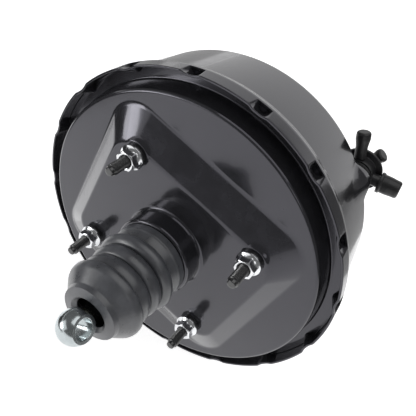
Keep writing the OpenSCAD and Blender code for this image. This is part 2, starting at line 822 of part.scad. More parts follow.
// Diaphragm: inner bead, disc behind the plate, rolling wall and clamped outer bead
module diaphragm() {
    mid = skin_t / 2;
    back = seat_gap + mid;
    rim_r = plate_r + back;
    roll_c = (rim_r + skin_out_r) / 2;
    roll_r = (skin_out_r - rim_r) / 2;
    roll_y = shelf_y + roll_r;
    dish = back * tan(atan(dish_depth / dish_w) / 2);
    inner_r = bead_groove_r + seat_gap;
    bead_back_y = hub_back_y + 1.4 + press_gap;
    foot_rise = step_l / band_step;
    foot_y = slope_y - sheet_t * slope_turn + (band_r - sheet_t - flange_r + 1) * foot_rise - 2 * press_gap;
    color("#3a3a3c") {
        turned(strip(concat(
            [[inner_r + mid, plate_hub_y - back], [dish_in_r + dish, plate_hub_y - back],
             [dish_out_r + dish, plate_rim_y - back]],
            arc([plate_r - plate_bend, plate_rim_y + plate_bend], plate_bend + back, -90, 0, 5),
            arc([roll_c, roll_y], roll_r, 180, 0, 10),
            [[skin_out_r, shelf_y + 1]]), skin_t));
        ring(skin_out_r - 3.4, skin_out_r + mid, flange_front_y + press_gap, shelf_y + 1.4);
        turned([[skin_out_r - 1, flange_front_y + press_gap], [flange_r - 1, flange_front_y + press_gap],
                [flange_r - 1, foot_y], [skin_out_r, foot_y + (flange_r - 1 - skin_out_r) * foot_rise]]);
        ring(inner_r, step_r + 2, bead_back_y, plate_hub_y - back);
    }
}

// Rubber disc that shares the load between plunger and valve body
module reaction_disc() {
    color("#3c3230") bar(disc_r - press_gap, disc_y, disc_y + disc_t);
}

// Output rod with its head in front of the reaction disc and a domed tip
module output_rod() {
    head_r = disc_r - press_gap;
    end_y = pad_front_y + out_rod_reach;
    dome_r = out_rod_r - 1.5;
    color("#b9bcc0") turned(concat(
        [[0, out_head_y], [head_r, out_head_y], [head_r, out_head_y + out_head_t],
         [out_rod_r + 2, out_head_y + out_head_t + 1.5], [out_rod_r, out_head_y + out_head_t + 4],
         [out_rod_r, pad_front_y - 2]],
        arc([0, end_y - dome_r], dome_r, 0, 90, 6)));
}

// Stamped ring that keeps the output rod in the hub and seats the return spring
module output_rod_retainer() {
    y0 = hub_front_y + press_gap;
    in_r = out_rod_r + 3;
    skirt_r = hub_nose_r + press_gap;
    color("#b0a878") difference() {
        turned([[in_r, y0], [skirt_r, y0], [skirt_r, y0 - 3.4], [skirt_r + cup_t, y0 - 3.4],
                [skirt_r + cup_t, y0 + cup_t], [in_r, y0 + cup_t]]);
        at_vents() bar(vent_r, y0 - over, y0 + cup_t + over);
    }
}

// Main return spring between the retainer and the front reinforcement ring
module return_spring() {
    color("#6e7074") coil(hub_nose_r - 3.5, spigot_r + 8, hub_front_y + press_gap + cup_t + seat_gap,
                          ring_back_y - seat_gap, main_turns, main_wire, 20);
}

// Fork-shaped key that stops the plunger's travel
module piston_key() {
    prong = key_neck_r - 1;
    way = key_neck_r + seat_gap;
    color("#c2c4c6") translate([0, key_y, 0]) difference() {
        translate([-key_w / 2, 0, -prong]) cube([key_w, key_t, hub_r - 1 + prong]);
        bar(way, -over, key_t + over);
        translate([-way, -over, -way]) cube([2 * way, key_t + 2 * over, way]);
    }
}

// Valve plunger: air seat, neck for the key and socket for the rod's ball
module valve_plunger() {
    mouth_r = rod_r + 0.6;
    flare = 0.9;
    seat_t = 1.6;
    neck_back = key_y - key_room;
    neck_front = key_y + key_t + key_room;
    color("#c8b878") difference() {
        turned([
            [0, plunger_seat_y], [seat_ring_r, plunger_seat_y], [seat_ring_r, plunger_seat_y + seat_t],
            [plunger_r, plunger_seat_y + 4], [plunger_r, neck_back], [key_neck_r, neck_back],
            [key_neck_r, neck_front], [plunger_r, neck_front], [plunger_r, plunger_front_y],
            [0, plunger_front_y]]);
        translate([0, tip_y, 0]) sphere(r = tip_r + press_gap);
        along_y(plunger_seat_y - over)
            cylinder(r1 = mouth_r + flare, r2 = mouth_r, h = tip_y - plunger_seat_y);
    }
}

// Input rod: hidden ball, shaft and cross-drilled ball eye
module input_rod() {
    color("#cfd2d4") difference() {
        union() {
            translate([0, tip_y, 0]) sphere(r = tip_r);
            bar(rod_r, -eye_reach, tip_y);
            translate([0, -eye_reach, 0]) sphere(r = ball_d / 2);
        }
        translate([0, -eye_reach, 0]) rotate([0, 90 - eye_angle, 0]) {
            translate([0, 0, -ball_d]) cylinder(r = eye_d / 2, h = 2 * ball_d);
            for (s = [0, 1]) mirror([0, 0, s]) translate([-ball_d, -ball_d, eye_w / 2])
                cube([2 * ball_d, 2 * ball_d, ball_d]);
        }
    }
}

// Washer fixed on the rod that the rod spring pushes on
module rod_spring_seat() {
    hub_t = 3;
    y0 = spring_seat_y;
    in_r = rod_r + press_gap;
    color("#b0a878") turned([
        [in_r, y0], [spring_seat_r - 0.6, y0], [spring_seat_r, y0 + spring_seat_t],
        [rod_r + 2.4, y0 + spring_seat_t], [rod_r + over, y0 + hub_t], [in_r, y0 + hub_t]]);
}

// Spring that returns the input rod
module rod_return_spring() {
    color("#7c7e82")
        coil(11.6, 13.4, spring_seat_y + spring_seat_t + seat_gap, retainer_y - seat_gap, 4, 1.8, 16);
}

// Rubber poppet: sealing face, bellows and bead
module poppet_valve() {
    face = poppet_y - poppet_t / 2;
    bead_r = tail_bore_r - poppet_t / 2 - seat_gap;
    bead_end = retainer_y + retainer_t + seat_gap;
    color("#333336") turned(strip([
        [rod_r + 2.6, face], [plunger_r + 4.4, face], [plunger_r + 5, face - 3.6],
        [plunger_r + 3.4, face - 7], [plunger_r + 5.6, face - 10], [bead_r, bead_end + 2],
        [bead_r, bead_end]], poppet_t));
}

// Light spring that closes the poppet
module poppet_spring() {
    r = retainer_wall_r - 3;
    color("#7c7e82")
        coil(r, r, retainer_y + retainer_t + seat_gap, poppet_y - poppet_t - seat_gap, 4, 1.1, 14, 6);
}

// Metal cup that holds the poppet's bead in the tail tube
module poppet_retainer() {
    out_r = tail_bore_r - press_gap;
    in_r = rod_r + over;
    y1 = retainer_y + retainer_t;
    wall_end = retainer_y + 6;
    wall_in_r = retainer_wall_r - 1;
    color("#a7a9ab") turned([
        [in_r, retainer_y], [out_r, retainer_y], [out_r, y1], [retainer_wall_r, y1],
        [retainer_wall_r, wall_end], [wall_in_r, wall_end], [wall_in_r, y1], [in_r, y1]]);
}

// Foam filter for the air that enters along the rod
module air_filter() {
    color("#8f8a72") ring(rod_way_r, tail_bore_r - seat_gap, filter_back_y, filter_front_y);
}

// Felt ring in front of the filter
module silencer_felt() {
    color("#b5afa0") ring(rod_way_r, tail_bore_r - seat_gap, filter_front_y + press_gap, felt_front_y);
}

// Slotted ring that keeps the filter in the tail tube
module filter_retainer() {
    in_r = rod_way_r + 0.5;
    out_r = tail_bore_r - press_gap;
    color("#232325") difference() {
        ring(in_r, out_r, tail_back_y, filter_back_y - press_gap);
        for (a = [0:45:315]) rotate([0, a, 0]) translate([(in_r + out_r) / 2, 0, 0])
            bar(1.6, tail_back_y - over, filter_back_y + over);
    }
}

// Rubber grommet in the boss
module valve_grommet() {
    hole = cv_hole_r - press_gap;
    bore = cv_pipe_r + press_gap;
    under = front_y - sheet_t;
    color("#252527") at_check_valve() turned([
        [bore, under - 2], [hole + 0.4, under - 2], [hole + 1.2, under - press_gap],
        [hole, under - press_gap], [hole, front_y + press_gap], [hole + 2.4, front_y + press_gap],
        [hole + 1.8, front_y + cv_flange_t], [bore, front_y + cv_flange_t]]);
}

// Valve base: spigot through the grommet, flange and disc seat
module check_valve_base() {
    low = front_y - sheet_t - 7;
    in_r = cv_pipe_r - 2.4;
    barb_y = low + 3.4;
    rim_r = cv_neck_r - 0.8;
    top_y = cv_cover_y - press_gap;
    color("#1d1d1f") at_check_valve() turned([
        [in_r, low], [cv_pipe_r - 0.6, low], [cv_pipe_r + 0.6, barb_y], [cv_pipe_r + 0.6, barb_y + 1],
        [cv_pipe_r, barb_y + 1.2], [cv_pipe_r, cv_base_y], [rim_r - 1.8, cv_base_y],
        [rim_r, cv_base_y + 1.2], [rim_r, top_y], [in_r, top_y]]);
}

// Valve cover: round chamber under a wide rim, turret and the three ports
module check_valve_cover() {
    edge = 1.4;
    turret_in_r = cv_turret_r - 2.6;
    root = cv_chamber_r + over - 2.6;
    inner = cv_chamber_r - over;
    slim_bore = slim_r - 1.3;
    color("#2b2b2e") difference() {
        union() {
            at_check_valve() turned([
                [0, cv_cover_y], [cv_neck_r, cv_cover_y], [cv_neck_r, cv_rim_y], [cv_out_r, cv_rim_y],
                [cv_out_r, cv_top_y - edge],
                [cv_out_r - edge, cv_top_y], [cv_turret_r, cv_top_y], [cv_turret_r, cv_turret_y - 1],
                [cv_turret_r - 1, cv_turret_y], [0, cv_turret_y]]);
            port(slim_angle, cv_port_y, root, slim_end, slim_r);
            port(wide_angle, cv_port_y, root, wide_end, wide_r);
            port(top_angle, cv_top_port_y, 0, top_end, slim_r);
        }
        at_check_valve() {
            bar(cv_chamber_r, cv_cover_y - over, cv_top_y - cv_wall);
            bar(turret_in_r, cv_top_y - cv_wall - over, cv_turret_y - cv_wall);
        }
        port(slim_angle, cv_port_y, inner, slim_end + over, slim_bore);
        port(wide_angle, cv_port_y, inner, wide_end + over, wide_r - cap_t);
        port(top_angle, cv_top_port_y, 0, top_end + over, slim_bore);
    }
}

// Rubber disc that lets air out of the booster only
module check_valve_disc() {
    y0 = cv_cover_y + seat_gap - press_gap;
    stem_r = 1.6;
    color("#38383a") at_check_valve() turned([
        [0, y0], [cv_pipe_r + 1.4, y0], [cv_pipe_r + 1.4, y0 + cv_disc_t], [stem_r, y0 + cv_disc_t],
        [stem_r, y0 + 4], [0, y0 + 4]]);
}

// Light spring on the check valve disc
module check_valve_spring() {
    y0 = cv_cover_y + seat_gap - press_gap + cv_disc_t + seat_gap;
    color("#9a9c9e") at_check_valve() coil(4, 6, y0, cv_top_y - cv_wall - seat_gap, 3, 0.8, 14, 6);
}

// Closed rubber cap over a port, made along +Z from its open end
module cap(port_r, mouth_t, end_t, length) {
    in_r = port_r + press_gap;
    mouth_r = in_r + mouth_t;
    end_r = in_r + end_t;
    round_r = 1.5;
    lip = 2;
    rotate_extrude() polygon(concat(
        [[in_r, 0], [mouth_r - 0.3, 0], [mouth_r, 0.4], [mouth_r, lip]],
        arc([end_r - round_r, length - round_r], round_r, 0, 90, 4),
        [[0, length], [0, length - cap_t], [in_r, length - cap_t]]));
}

// Caps on the two slim ports
module slim_port_caps() {
    side_start = cv_neck_r + seat_gap;
    top_start = cv_turret_r + seat_gap;
    past = cap_t + seat_gap;
    color("#232326") {
        along_port(slim_angle, cv_port_y, side_start)
            cap(slim_r, slim_mouth_t, slim_bulb_t, slim_end + past - side_start);
        along_port(top_angle, cv_top_port_y, top_start)
            cap(slim_r, slim_mouth_t, slim_bulb_t, top_end + past - top_start);
    }
}

// Cap on the wide port
module wide_port_cap() {
    start = cv_out_r + 1.2;
    color("#1f1f21") along_port(wide_angle, cv_port_y, start)
        cap(wide_r, 3, 1.4, wide_end + cap_t + seat_gap - start);
}

front_shell();
rear_shell();
diaphragm();
stud_plate();
firewall_studs();
stud_collars();
flange_nuts();
front_ring();
master_cylinder_studs();
front_seal();
neck_bearing();
bearing_retainer();
boot();
valve_body();
support_plate();
reaction_disc();
output_rod();
output_rod_retainer();
return_spring();
piston_key();
valve_plunger();
input_rod();
rod_spring_seat();
rod_return_spring();
poppet_valve();
poppet_spring();
poppet_retainer();
air_filter();
silencer_felt();
filter_retainer();
valve_grommet();
check_valve_base();
check_valve_cover();
check_valve_disc();
check_valve_spring();
slim_port_caps();
wide_port_cap();
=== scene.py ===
import math

import bmesh
import bpy
import numpy as np
from mathutils import Matrix, Vector


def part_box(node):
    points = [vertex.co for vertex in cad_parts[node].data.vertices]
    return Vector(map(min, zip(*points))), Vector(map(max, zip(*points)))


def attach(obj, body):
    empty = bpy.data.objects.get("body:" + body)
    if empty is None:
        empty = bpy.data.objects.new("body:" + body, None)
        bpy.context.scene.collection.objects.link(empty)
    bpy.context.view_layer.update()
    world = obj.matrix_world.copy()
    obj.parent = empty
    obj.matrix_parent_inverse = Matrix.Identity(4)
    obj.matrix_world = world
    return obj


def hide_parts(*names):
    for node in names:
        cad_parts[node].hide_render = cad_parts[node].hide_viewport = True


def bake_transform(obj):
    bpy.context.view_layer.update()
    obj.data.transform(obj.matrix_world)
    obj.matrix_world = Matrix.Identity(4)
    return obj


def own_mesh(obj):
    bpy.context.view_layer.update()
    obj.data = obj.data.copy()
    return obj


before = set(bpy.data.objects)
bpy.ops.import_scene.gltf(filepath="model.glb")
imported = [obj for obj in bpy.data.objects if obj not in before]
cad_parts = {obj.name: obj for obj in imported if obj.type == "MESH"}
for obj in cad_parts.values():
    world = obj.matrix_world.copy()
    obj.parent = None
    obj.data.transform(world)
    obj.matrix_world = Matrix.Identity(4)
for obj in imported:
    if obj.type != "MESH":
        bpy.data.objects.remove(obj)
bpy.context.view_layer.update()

MM = 0.001
TAU = 2 * math.pi

# Real sizes in mm, repeated from the source: sheet, crimp band and tabs
SHEET = 1.6
BAND_R = 123.3
BAND_IN_R = BAND_R - SHEET
BAND_BACK = 19.0
WINDOW_Y = 28.9
TAB_N = 16
TAB_PITCH = TAU / TAB_N
TAB_PHASE = math.radians(1.9)
TAB_ROOT_W = 14.4
TAB_W = 10.6
TAB_DIP = 1.2
TAB_DEPTH = 5.0

# Front shell
WALL_R = 119.9
SHOULDER_WALL_R = 115.3
SHOULDER_Y = 89.5
SLOPE_Y = 31.4
SLOPE_END = 38.4
FRONT_Y = 98.5
FRONT_PAD_Y = 102.5
FRONT_PAD_R = 56.0
FRONT_PAD_FOOT_R = 62.0
SPIGOT_R = 21.0
SPIGOT_DEPTH = 9.0
SPIGOT_HOLE_R = 15.5

# Rear shell: the pad's top and foot are half width, half height and corner radius
PAD_Y = 2.8
PAD_RISE = 9.6
PAD_TOP = (67.0, 53.4, 15.0)
PAD_FOOT = (80.8, 76.9, 24.0)
FACE_Y = 12.4
FACE_R = 109.9
SIDE_R = 112.0
FLANGE_Y = 29.2
NECK_R = 29.5
NECK_BACK = -13.2
LIP_R = 24.8

# Studs and nuts
STUD_X = 50.6
STUD_Z = 47.3
STUD_R = 4.0
STUD_FOOT = -7.0
STUD_THREAD_END = 20.5
STUD_POINT_R = 3.0
STUD_END = 23.5
STUD_BOSS_R = 10.4
COLLAR_BORE_R = 4.15
COLLAR_R = 8.4
COLLAR_T = 2.78
MC_STUD_X = 43.0
MC_STUD_FOOT = 100.5
MC_THREAD_END = 125.2
MC_STUD_END = 126.5
THREAD_PITCH = 1.25
THREAD_DEPTH = 0.62
NUT_H = 8.0
NUT_HALF = 6.5
NUT_CORNER_R = 7.4
NUT_BORE_R = 4.3

# Boot, each ring given by its crest's radius
BOOT_SEAT_R = 24.72
BOOT_CUFF_R = 27.5
BOOT_CUFF_FRONT = -13.5
BOOT_CUFF_BACK = -19.0
BOOT_VALLEY_R = 23.8
BOOT_RING_Y = -31.0
BOOT_RING_HALF = 5.25
BOOT_RINGS = (29.3, 27.1, 26.4)
BOOT_IN_R = 21.8
BOOT_NOSE_R = 28.4
BOOT_NOSE_IN_R = 26.4
BOOT_MOUTH_R = 10.9

# Input rod and its ball eye
SOCKET_Y = 10.0
SOCKET_R = 6.5
ROD_R = 5.5
ROD_NECK_R = 6.3
ROD_END = -79.5
EYE_Y = -86.5
EYE_R = 11.5
EYE_HALF = 7.4
EYE_HOLE_R = 6.35
EYE_TURN = math.radians(43)

# Check valve: its place, base, cover and turret
VALVE_ANGLE = math.radians(51.3)
VALVE_FROM_AXIS = 106.9
VALVE_X = VALVE_FROM_AXIS * math.cos(VALVE_ANGLE)
VALVE_Z = VALVE_FROM_AXIS * math.sin(VALVE_ANGLE)
VALVE_BOSS_R = 13.0
VALVE_BASE_END = 103.3
VALVE_COVER_Y = 103.45
VALVE_NECK_R = 12.0
VALVE_RIM_R = 16.5
VALVE_RIM_Y = 113.0
VALVE_RIM_END = 116.4
TURRET_R = 7.0
TURRET_END = 126.0

# Each port's angle in degrees, level, start, end, radius and bore. The slim one stands between the
# source's angle and the photo's
SLIM_PORT = (121.0, 108.2, 9.8, 30.6, 3.4, 2.1)
WIDE_PORT = (20.0, 108.2, 9.8, 30.4, 4.6, 3.0)
TOP_PORT = (73.0, 121.7, 4.0, 16.4, 3.4, 2.1)

# Rounding of cut edges, the angle in degrees at which an edge is sharp, and the merging of points in metres
CUT_ROUND = 0.3
SHARP_DEG = 38.0
MERGE_M = 2e-6
THIN_M = 1e-7


# Mesh helpers: every point is given in mm
def add_mesh(name, points, faces, sharp=SHARP_DEG):
    """A smooth-shaded object from points in mm and quad or triangle faces."""
    mesh = bpy.data.meshes.new(name)
    places = (np.asarray(points, dtype=float) * MM).tolist()
    mesh.from_pydata(places, [], [list(map(int, f)) for f in faces])
    mesh.update()
    work = bmesh.new()
    work.from_mesh(mesh)
    bmesh.ops.remove_doubles(work, verts=work.verts, dist=MERGE_M)
    bmesh.ops.dissolve_degenerate(work, edges=work.edges, dist=THIN_M)
    bmesh.ops.recalc_face_normals(work, faces=work.faces)
    work.to_mesh(mesh)
    work.free()
    mesh.polygons.foreach_set("use_smooth", [True] * len(mesh.polygons))
    mesh.set_sharp_from_angle(angle=math.radians(sharp))
    return linked(name, mesh)


def linked(name, data):
    """A new object in the scene for a mesh, light or camera."""
    obj = bpy.data.objects.new(name, data)
    bpy.context.scene.collection.objects.link(obj)
    return obj


def grid_faces(rows, cols, wrap_rows=False):
    """Quads of a grid whose point (i, j) has the index i * cols + j, closed along its columns."""
    faces = []
    for i in range(rows if wrap_rows else rows - 1):
        a = i * cols
        b = ((i + 1) % rows) * cols
        for j in range(cols):
            k = (j + 1) % cols
            faces.append((a + j, a + k, b + k, b + j))
    return faces


def fillet(corners, closed=True, step=15.0, limit=0.49):
    """Rounds the corners of a path, each (u, v) or (u, v, radius).

    Step is the arc's fineness in degrees, and limit the most of a leg that one corner takes.
    """
    straight = 0.02
    n = len(corners)
    path = []
    for i, corner in enumerate(corners):
        c = np.array(corner[:2], dtype=float)
        radius = corner[2] if len(corner) > 2 else 0.0
        if radius <= 0 or (not closed and i in (0, n - 1)):
            path.append(c)
            continue
        a = np.array(corners[i - 1][:2], dtype=float) - c
        b = np.array(corners[(i + 1) % n][:2], dtype=float) - c
        la, lb = np.linalg.norm(a), np.linalg.norm(b)
        a, b = a / la, b / lb
        angle = math.acos(max(-1.0, min(1.0, float(a @ b))))
        turn = math.pi - angle
        if turn < straight:
            path.append(c)
            continue
        reach = min(radius / math.tan(angle / 2), limit * la, limit * lb)
        r = reach * math.tan(angle / 2)
        mid = c + (a + b) / np.linalg.norm(a + b) * r / math.sin(angle / 2)
        start, end = c + a * reach - mid, c + b * reach - mid
        steps = max(2, int(math.ceil(math.degrees(turn) / step)))
        side = 1.0 if start[0] * end[1] - start[1] * end[0] > 0 else -1.0
        for k in range(steps + 1):
            t = side * turn * k / steps
            path.append(mid + np.array([start[0] * math.cos(t) - start[1] * math.sin(t),
                                        start[0] * math.sin(t) + start[1] * math.cos(t)]))
    return path


def supported(path, closed=True, edge=0.22, longest=math.inf):
    """Adds points near the ends of long straight stretches, so that smooth normals stay flat there."""
    out = []
    n = len(path)
    for i in range(n if closed else n - 1):
        a, b = path[i], path[(i + 1) % n]
        length = float(np.linalg.norm(b - a))
        out.append(a)
        stops = []
        if length > 4 * edge:
            stops = [edge / length, 1 - edge / length]
        extra = int(length // longest)
        if extra > 0:
            inner = 1 - 2 * edge / length
            stops += [edge / length + inner * k / (extra + 1) for k in range(1, extra + 1)]
        for t in sorted(stops):
            out.append(a + (b - a) * t)
    if not closed:
        out.append(path[-1])
    return out


def axis_frame(origin=(0, 0, 0), direction=(0, 1, 0), up=(0, 0, 1)):
    """Origin and three axes (across, along, other) of a lathe whose axis is the direction."""
    along = Vector(direction).normalized()
    across = (Vector(up) - along * Vector(up).dot(along)).normalized()
    other = across.cross(along)
    return np.array(origin, dtype=float), np.array(across), np.array(along), np.array(other)


def ring_directions(angles, place):
    """Unit directions round a lathe's axis."""
    across, other = place[1], place[3]
    return np.cos(angles)[:, None] * across + np.sin(angles)[:, None] * other


def lathe(name, path, segments=96, place=None, closed=True, sharp=SHARP_DEG):
    """Solid of revolution of a path of (radius, distance along the axis)."""
    place = place or axis_frame()
    origin, along = place[0], place[2]
    ring = ring_directions(TAU * np.arange(segments) / segments, place)
    points = np.concatenate([origin + p[0] * ring + p[1] * along for p in path])
    return add_mesh(name, points, grid_faces(len(path), segments, wrap_rows=closed), sharp)


def ring_grid(path, angles):
    """Radius, level and angle at every pair of a path's point and an angle about the booster's axis."""
    r, a = np.meshgrid(path[:, 0], angles, indexing="ij")
    y, _ = np.meshgrid(path[:, 1], angles, indexing="ij")
    return r, y, a


def polar(radii, levels, angles):
    """Points from radii, levels and angles about the booster's axis."""
    return np.stack([radii * np.cos(angles), levels, radii * np.sin(angles)], axis=-1)


def joined(name, objects):
    """Joins several objects into one."""
    work = bmesh.new()
    for obj in objects:
        work.from_mesh(obj.data)
    mesh = bpy.data.meshes.new(name)
    work.to_mesh(mesh)
    work.free()
    for obj in objects:
        old = obj.data
        bpy.data.objects.remove(obj)
        bpy.data.meshes.remove(old)
    return linked(name, mesh)


def put(obj, body, material, slot, *nodes):
    """Gives a finished piece its material and body, and hides the CAD nodes it stands for. The slot is not
    used.
    """
    obj.data.materials.clear()
    obj.data.materials.append(material)
    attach(obj, body)
    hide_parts(*nodes)


# Soft blends
def smooth_min(a, b, k):
    """The lesser of two, rounded over where they are within k of each other."""
    h = np.maximum(k - np.abs(a - b), 0.0)
    return np.minimum(a, b) - h * h / (4.0 * k)


def smooth_max(a, b, k):
    """The greater of two, rounded in the same way."""
    return -smooth_min(-a, -b, k)


def ease(x):
    """0 to 1 with no kink at either end."""
    x = np.clip(x, 0.0, 1.0)
    return x * x * (3 - 2 * x)


# Materials
def new_material(name):
    """An empty principled material, its node tree and its shader."""
    material = bpy.data.materials.new(name)
    material.use_nodes = True
    tree = material.node_tree
    tree.nodes.clear()
    out = tree.nodes.new("ShaderNodeOutputMaterial")
    shader = tree.nodes.new("ShaderNodeBsdfPrincipled")
    tree.links.new(shader.outputs["BSDF"], out.inputs["Surface"])
    return material, tree, shader


def noise(tree, scale, detail, rough):
    """Noise fixed to the object."""
    node = tree.nodes.new("ShaderNodeTexNoise")
    node.inputs["Scale"].default_value = scale
    node.inputs["Detail"].default_value = detail
    node.inputs["Roughness"].default_value = rough
    coord = tree.nodes.new("ShaderNodeTexCoord")
    tree.links.new(coord.outputs["Object"], node.inputs["Vector"])
    return node.outputs["Fac"]


def remap(tree, value, low, high, start, end):
    """A value that goes from low to high as the given one goes from start to end."""
    node = tree.nodes.new("ShaderNodeMapRange")
    node.inputs["From Min"].default_value = start
    node.inputs["From Max"].default_value = end
    node.inputs["To Min"].default_value = low
    node.inputs["To Max"].default_value = high
    tree.links.new(value, node.inputs["Value"])
    return node.outputs["Result"]


def mixed(tree, factor, a, b):
    """A colour between a and b."""
    node = tree.nodes.new("ShaderNodeMix")
    node.data_type = "RGBA"
    node.inputs["A"].default_value = (*a, 1)
    node.inputs["B"].default_value = (*b, 1)
    tree.links.new(factor, node.inputs["Factor"])
    return node.outputs["Result"]


def summed(tree, a, b, share):
    """a plus b times a share, as a height."""
    node = tree.nodes.new("ShaderNodeMath")
    node.operation = "MULTIPLY_ADD"
    node.inputs[1].default_value = share
    tree.links.new(b, node.inputs[0])
    tree.links.new(a, node.inputs[2])
    return node.outputs["Value"]


def bump(tree, shader, height, strength, distance):
    """Tilts the surface by a height, with the distance in mm."""
    node = tree.nodes.new("ShaderNodeBump")
    node.inputs["Strength"].default_value = strength
    node.inputs["Distance"].default_value = distance * MM
    tree.links.new(height, node.inputs["Height"])
    tree.links.new(node.outputs["Normal"], shader.inputs["Normal"])


def finish_material(name, dark, light, rough, metallic=0.0, scale=60.0, fine=900.0, bump_mm=0.02,
                    specular=0.5):
    """A procedural finish: clouded colour, clouded roughness and a fine grained surface."""
    material, tree, shader = new_material(name)
    clouds = noise(tree, scale, detail=4.0, rough=0.6)
    grain = noise(tree, fine, detail=2.0, rough=0.5)
    share = remap(tree, clouds, 0.0, 1.0, start=0.35, end=0.65)
    tree.links.new(mixed(tree, share, dark, light), shader.inputs["Base Color"])
    blend = summed(tree, clouds, grain, 0.5)
    tree.links.new(remap(tree, blend, *rough, start=0.45, end=1.05), shader.inputs["Roughness"])
    shader.inputs["Metallic"].default_value = metallic
    shader.inputs["Specular IOR Level"].default_value = specular
    bump(tree, shader, grain, strength=0.35, distance=bump_mm)
    return material


def paint_material():
    """Glossy black stoving paint with a slight orange peel and a thin film of dust."""
    material, tree, shader = new_material("shell_paint")
    peel = noise(tree, 260.0, detail=2.0, rough=0.5)
    waves = noise(tree, 38.0, detail=2.0, rough=0.4)
    dust = noise(tree, 75.0, detail=5.0, rough=0.65)
    clean, dusty = (0.0165, 0.0165, 0.0185), (0.0215, 0.0215, 0.0245)
    share = remap(tree, dust, 0.0, 1.0, start=0.4, end=0.75)
    tree.links.new(mixed(tree, share, clean, dusty), shader.inputs["Base Color"])
    tree.links.new(remap(tree, dust, 0.13, 0.2, start=0.35, end=0.7), shader.inputs["Roughness"])
    shader.inputs["Specular IOR Level"].default_value = 0.57
    shader.inputs["Specular Tint"].default_value = (0.87, 0.855, 1.0, 1)
    shader.inputs["Coat Weight"].default_value = 0.35
    shader.inputs["Coat Roughness"].default_value = 0.05
    bump(tree, shader, summed(tree, peel, waves, 1.2), strength=0.12, distance=0.02)
    return material


BLACK_PAINT = paint_material()
BLACK_STEEL = finish_material("black_steel", (0.012, 0.012, 0.013), (0.03, 0.03, 0.032), (0.16, 0.34),
                              specular=0.9)
ZINC = finish_material("zinc_steel", (0.66, 0.67, 0.69), (0.82, 0.83, 0.85), (0.09, 0.2), metallic=1.0,
                       scale=140.0, bump_mm=0.015)
PLATED = finish_material("plated_steel", (0.42, 0.41, 0.36), (0.6, 0.58, 0.5), (0.25, 0.42),
                         metallic=1.0)
CHROME = finish_material("rod_steel", (0.42, 0.46, 0.47), (0.52, 0.56, 0.57), (0.14, 0.24),
                         metallic=1.0, scale=90.0, bump_mm=0.008)
SPRING = finish_material("spring_steel", (0.2, 0.2, 0.21), (0.36, 0.36, 0.37), (0.28, 0.45),
                         metallic=1.0)
BRASS = finish_material("plunger_brass", (0.58, 0.44, 0.2), (0.72, 0.57, 0.28), (0.22, 0.36),
                        metallic=1.0)
BODY_PLASTIC = finish_material("body_plastic", (0.012, 0.011, 0.0105), (0.026, 0.023, 0.022),
                               (0.42, 0.58))
VALVE_PLASTIC = finish_material("valve_plastic", (0.012, 0.012, 0.0135), (0.022, 0.022, 0.024),
                                (0.3, 0.42))
BOOT_RUBBER = finish_material("boot_rubber", (0.056, 0.058, 0.065), (0.084, 0.087, 0.097),
                              (0.25, 0.38), specular=0.75, scale=110.0, fine=1400.0, bump_mm=0.05)
SEAL_RUBBER = finish_material("seal_rubber", (0.01, 0.01, 0.0105), (0.02, 0.02, 0.021), (0.45, 0.6))
DIAPHRAGM = finish_material("diaphragm_rubber", (0.016, 0.016, 0.017), (0.03, 0.03, 0.031),
                            (0.55, 0.7))
CAP_RUBBER = finish_material("cap_rubber", (0.011, 0.011, 0.012), (0.02, 0.02, 0.021), (0.32, 0.46))
FOAM = finish_material("filter_foam", (0.18, 0.165, 0.12), (0.32, 0.3, 0.23), (0.9, 1.0),
                       scale=500.0, fine=2400.0, bump_mm=0.4)
FELT = finish_material("filter_felt", (0.36, 0.34, 0.3), (0.52, 0.5, 0.45), (0.92, 1.0),
                       scale=400.0, fine=2600.0, bump_mm=0.25)


# Front shell: crimp band with lanced tabs
def tab_press(angle, y):
    """How far the sheet is pressed in at an angle about the axis and a level."""
    spare = 0.4
    off = (angle - TAB_PHASE + TAB_PITCH / 2) % TAB_PITCH - TAB_PITCH / 2
    across = np.abs(off) * BAND_R
    v = np.clip((y - BAND_BACK) / (WINDOW_Y - BAND_BACK), 0.0, 1.0)
    half = (TAB_ROOT_W + (TAB_W - TAB_ROOT_W) * v) / 2 + spare
    depth = TAB_DIP + (TAB_DEPTH - TAB_DIP) * v
    u = np.minimum(across / half, 1.0)
    return depth * (1 - u ** 3) ** 2


def front_band():
    """Crimp band, its columns closer together at the tabs."""
    tab_zone, tab_columns, plain_columns = 8.6, 31, 17
    corners = [(BAND_R, BAND_BACK, 0.6), (BAND_R, WINDOW_Y), (BAND_IN_R, WINDOW_Y, CUT_ROUND),
               (BAND_IN_R, BAND_BACK, 0.4)]
    path = np.array(supported(fillet(corners), edge=0.3, longest=1.1))
    near = np.linspace(-tab_zone, tab_zone, tab_columns) / BAND_R
    away = np.linspace(near[-1], TAB_PITCH + near[0], plain_columns)[1:-1]
    one = np.concatenate([near, away])
    angles = np.concatenate([TAB_PHASE + i * TAB_PITCH + one for i in range(TAB_N)])
    r, y, a = ring_grid(path, angles)
    points = polar(r - tab_press(a, y), y, a)
    return add_mesh("crimp_band", points.reshape(-1, 3), grid_faces(*r.shape, wrap_rows=True))


# Front shell: step, wall, shoulder, front face and the valve's boss
def wall_radius(y):
    """Outer radius of the drum's wall at a level, with its draft."""
    most = 1.2
    share = np.clip((y - SLOPE_END) / (SHOULDER_Y - SLOPE_END), 0.0, most)
    return WALL_R + (SHOULDER_WALL_R - WALL_R) * share


def boss_radius(y):
    """Radius of the valve's boss: it narrows down the wall, and ends at its foot."""
    waist_y, waist_l, waist = 90.5, 22.0, 6.0
    foot_y, foot_l, foot = waist_y - waist_l, 4.0, 40.0
    return (VALVE_BOSS_R - waist * np.clip((waist_y - y) / waist_l, 0.0, 1.0)
            - foot * np.clip((foot_y - y) / foot_l, 0.0, 1.0))


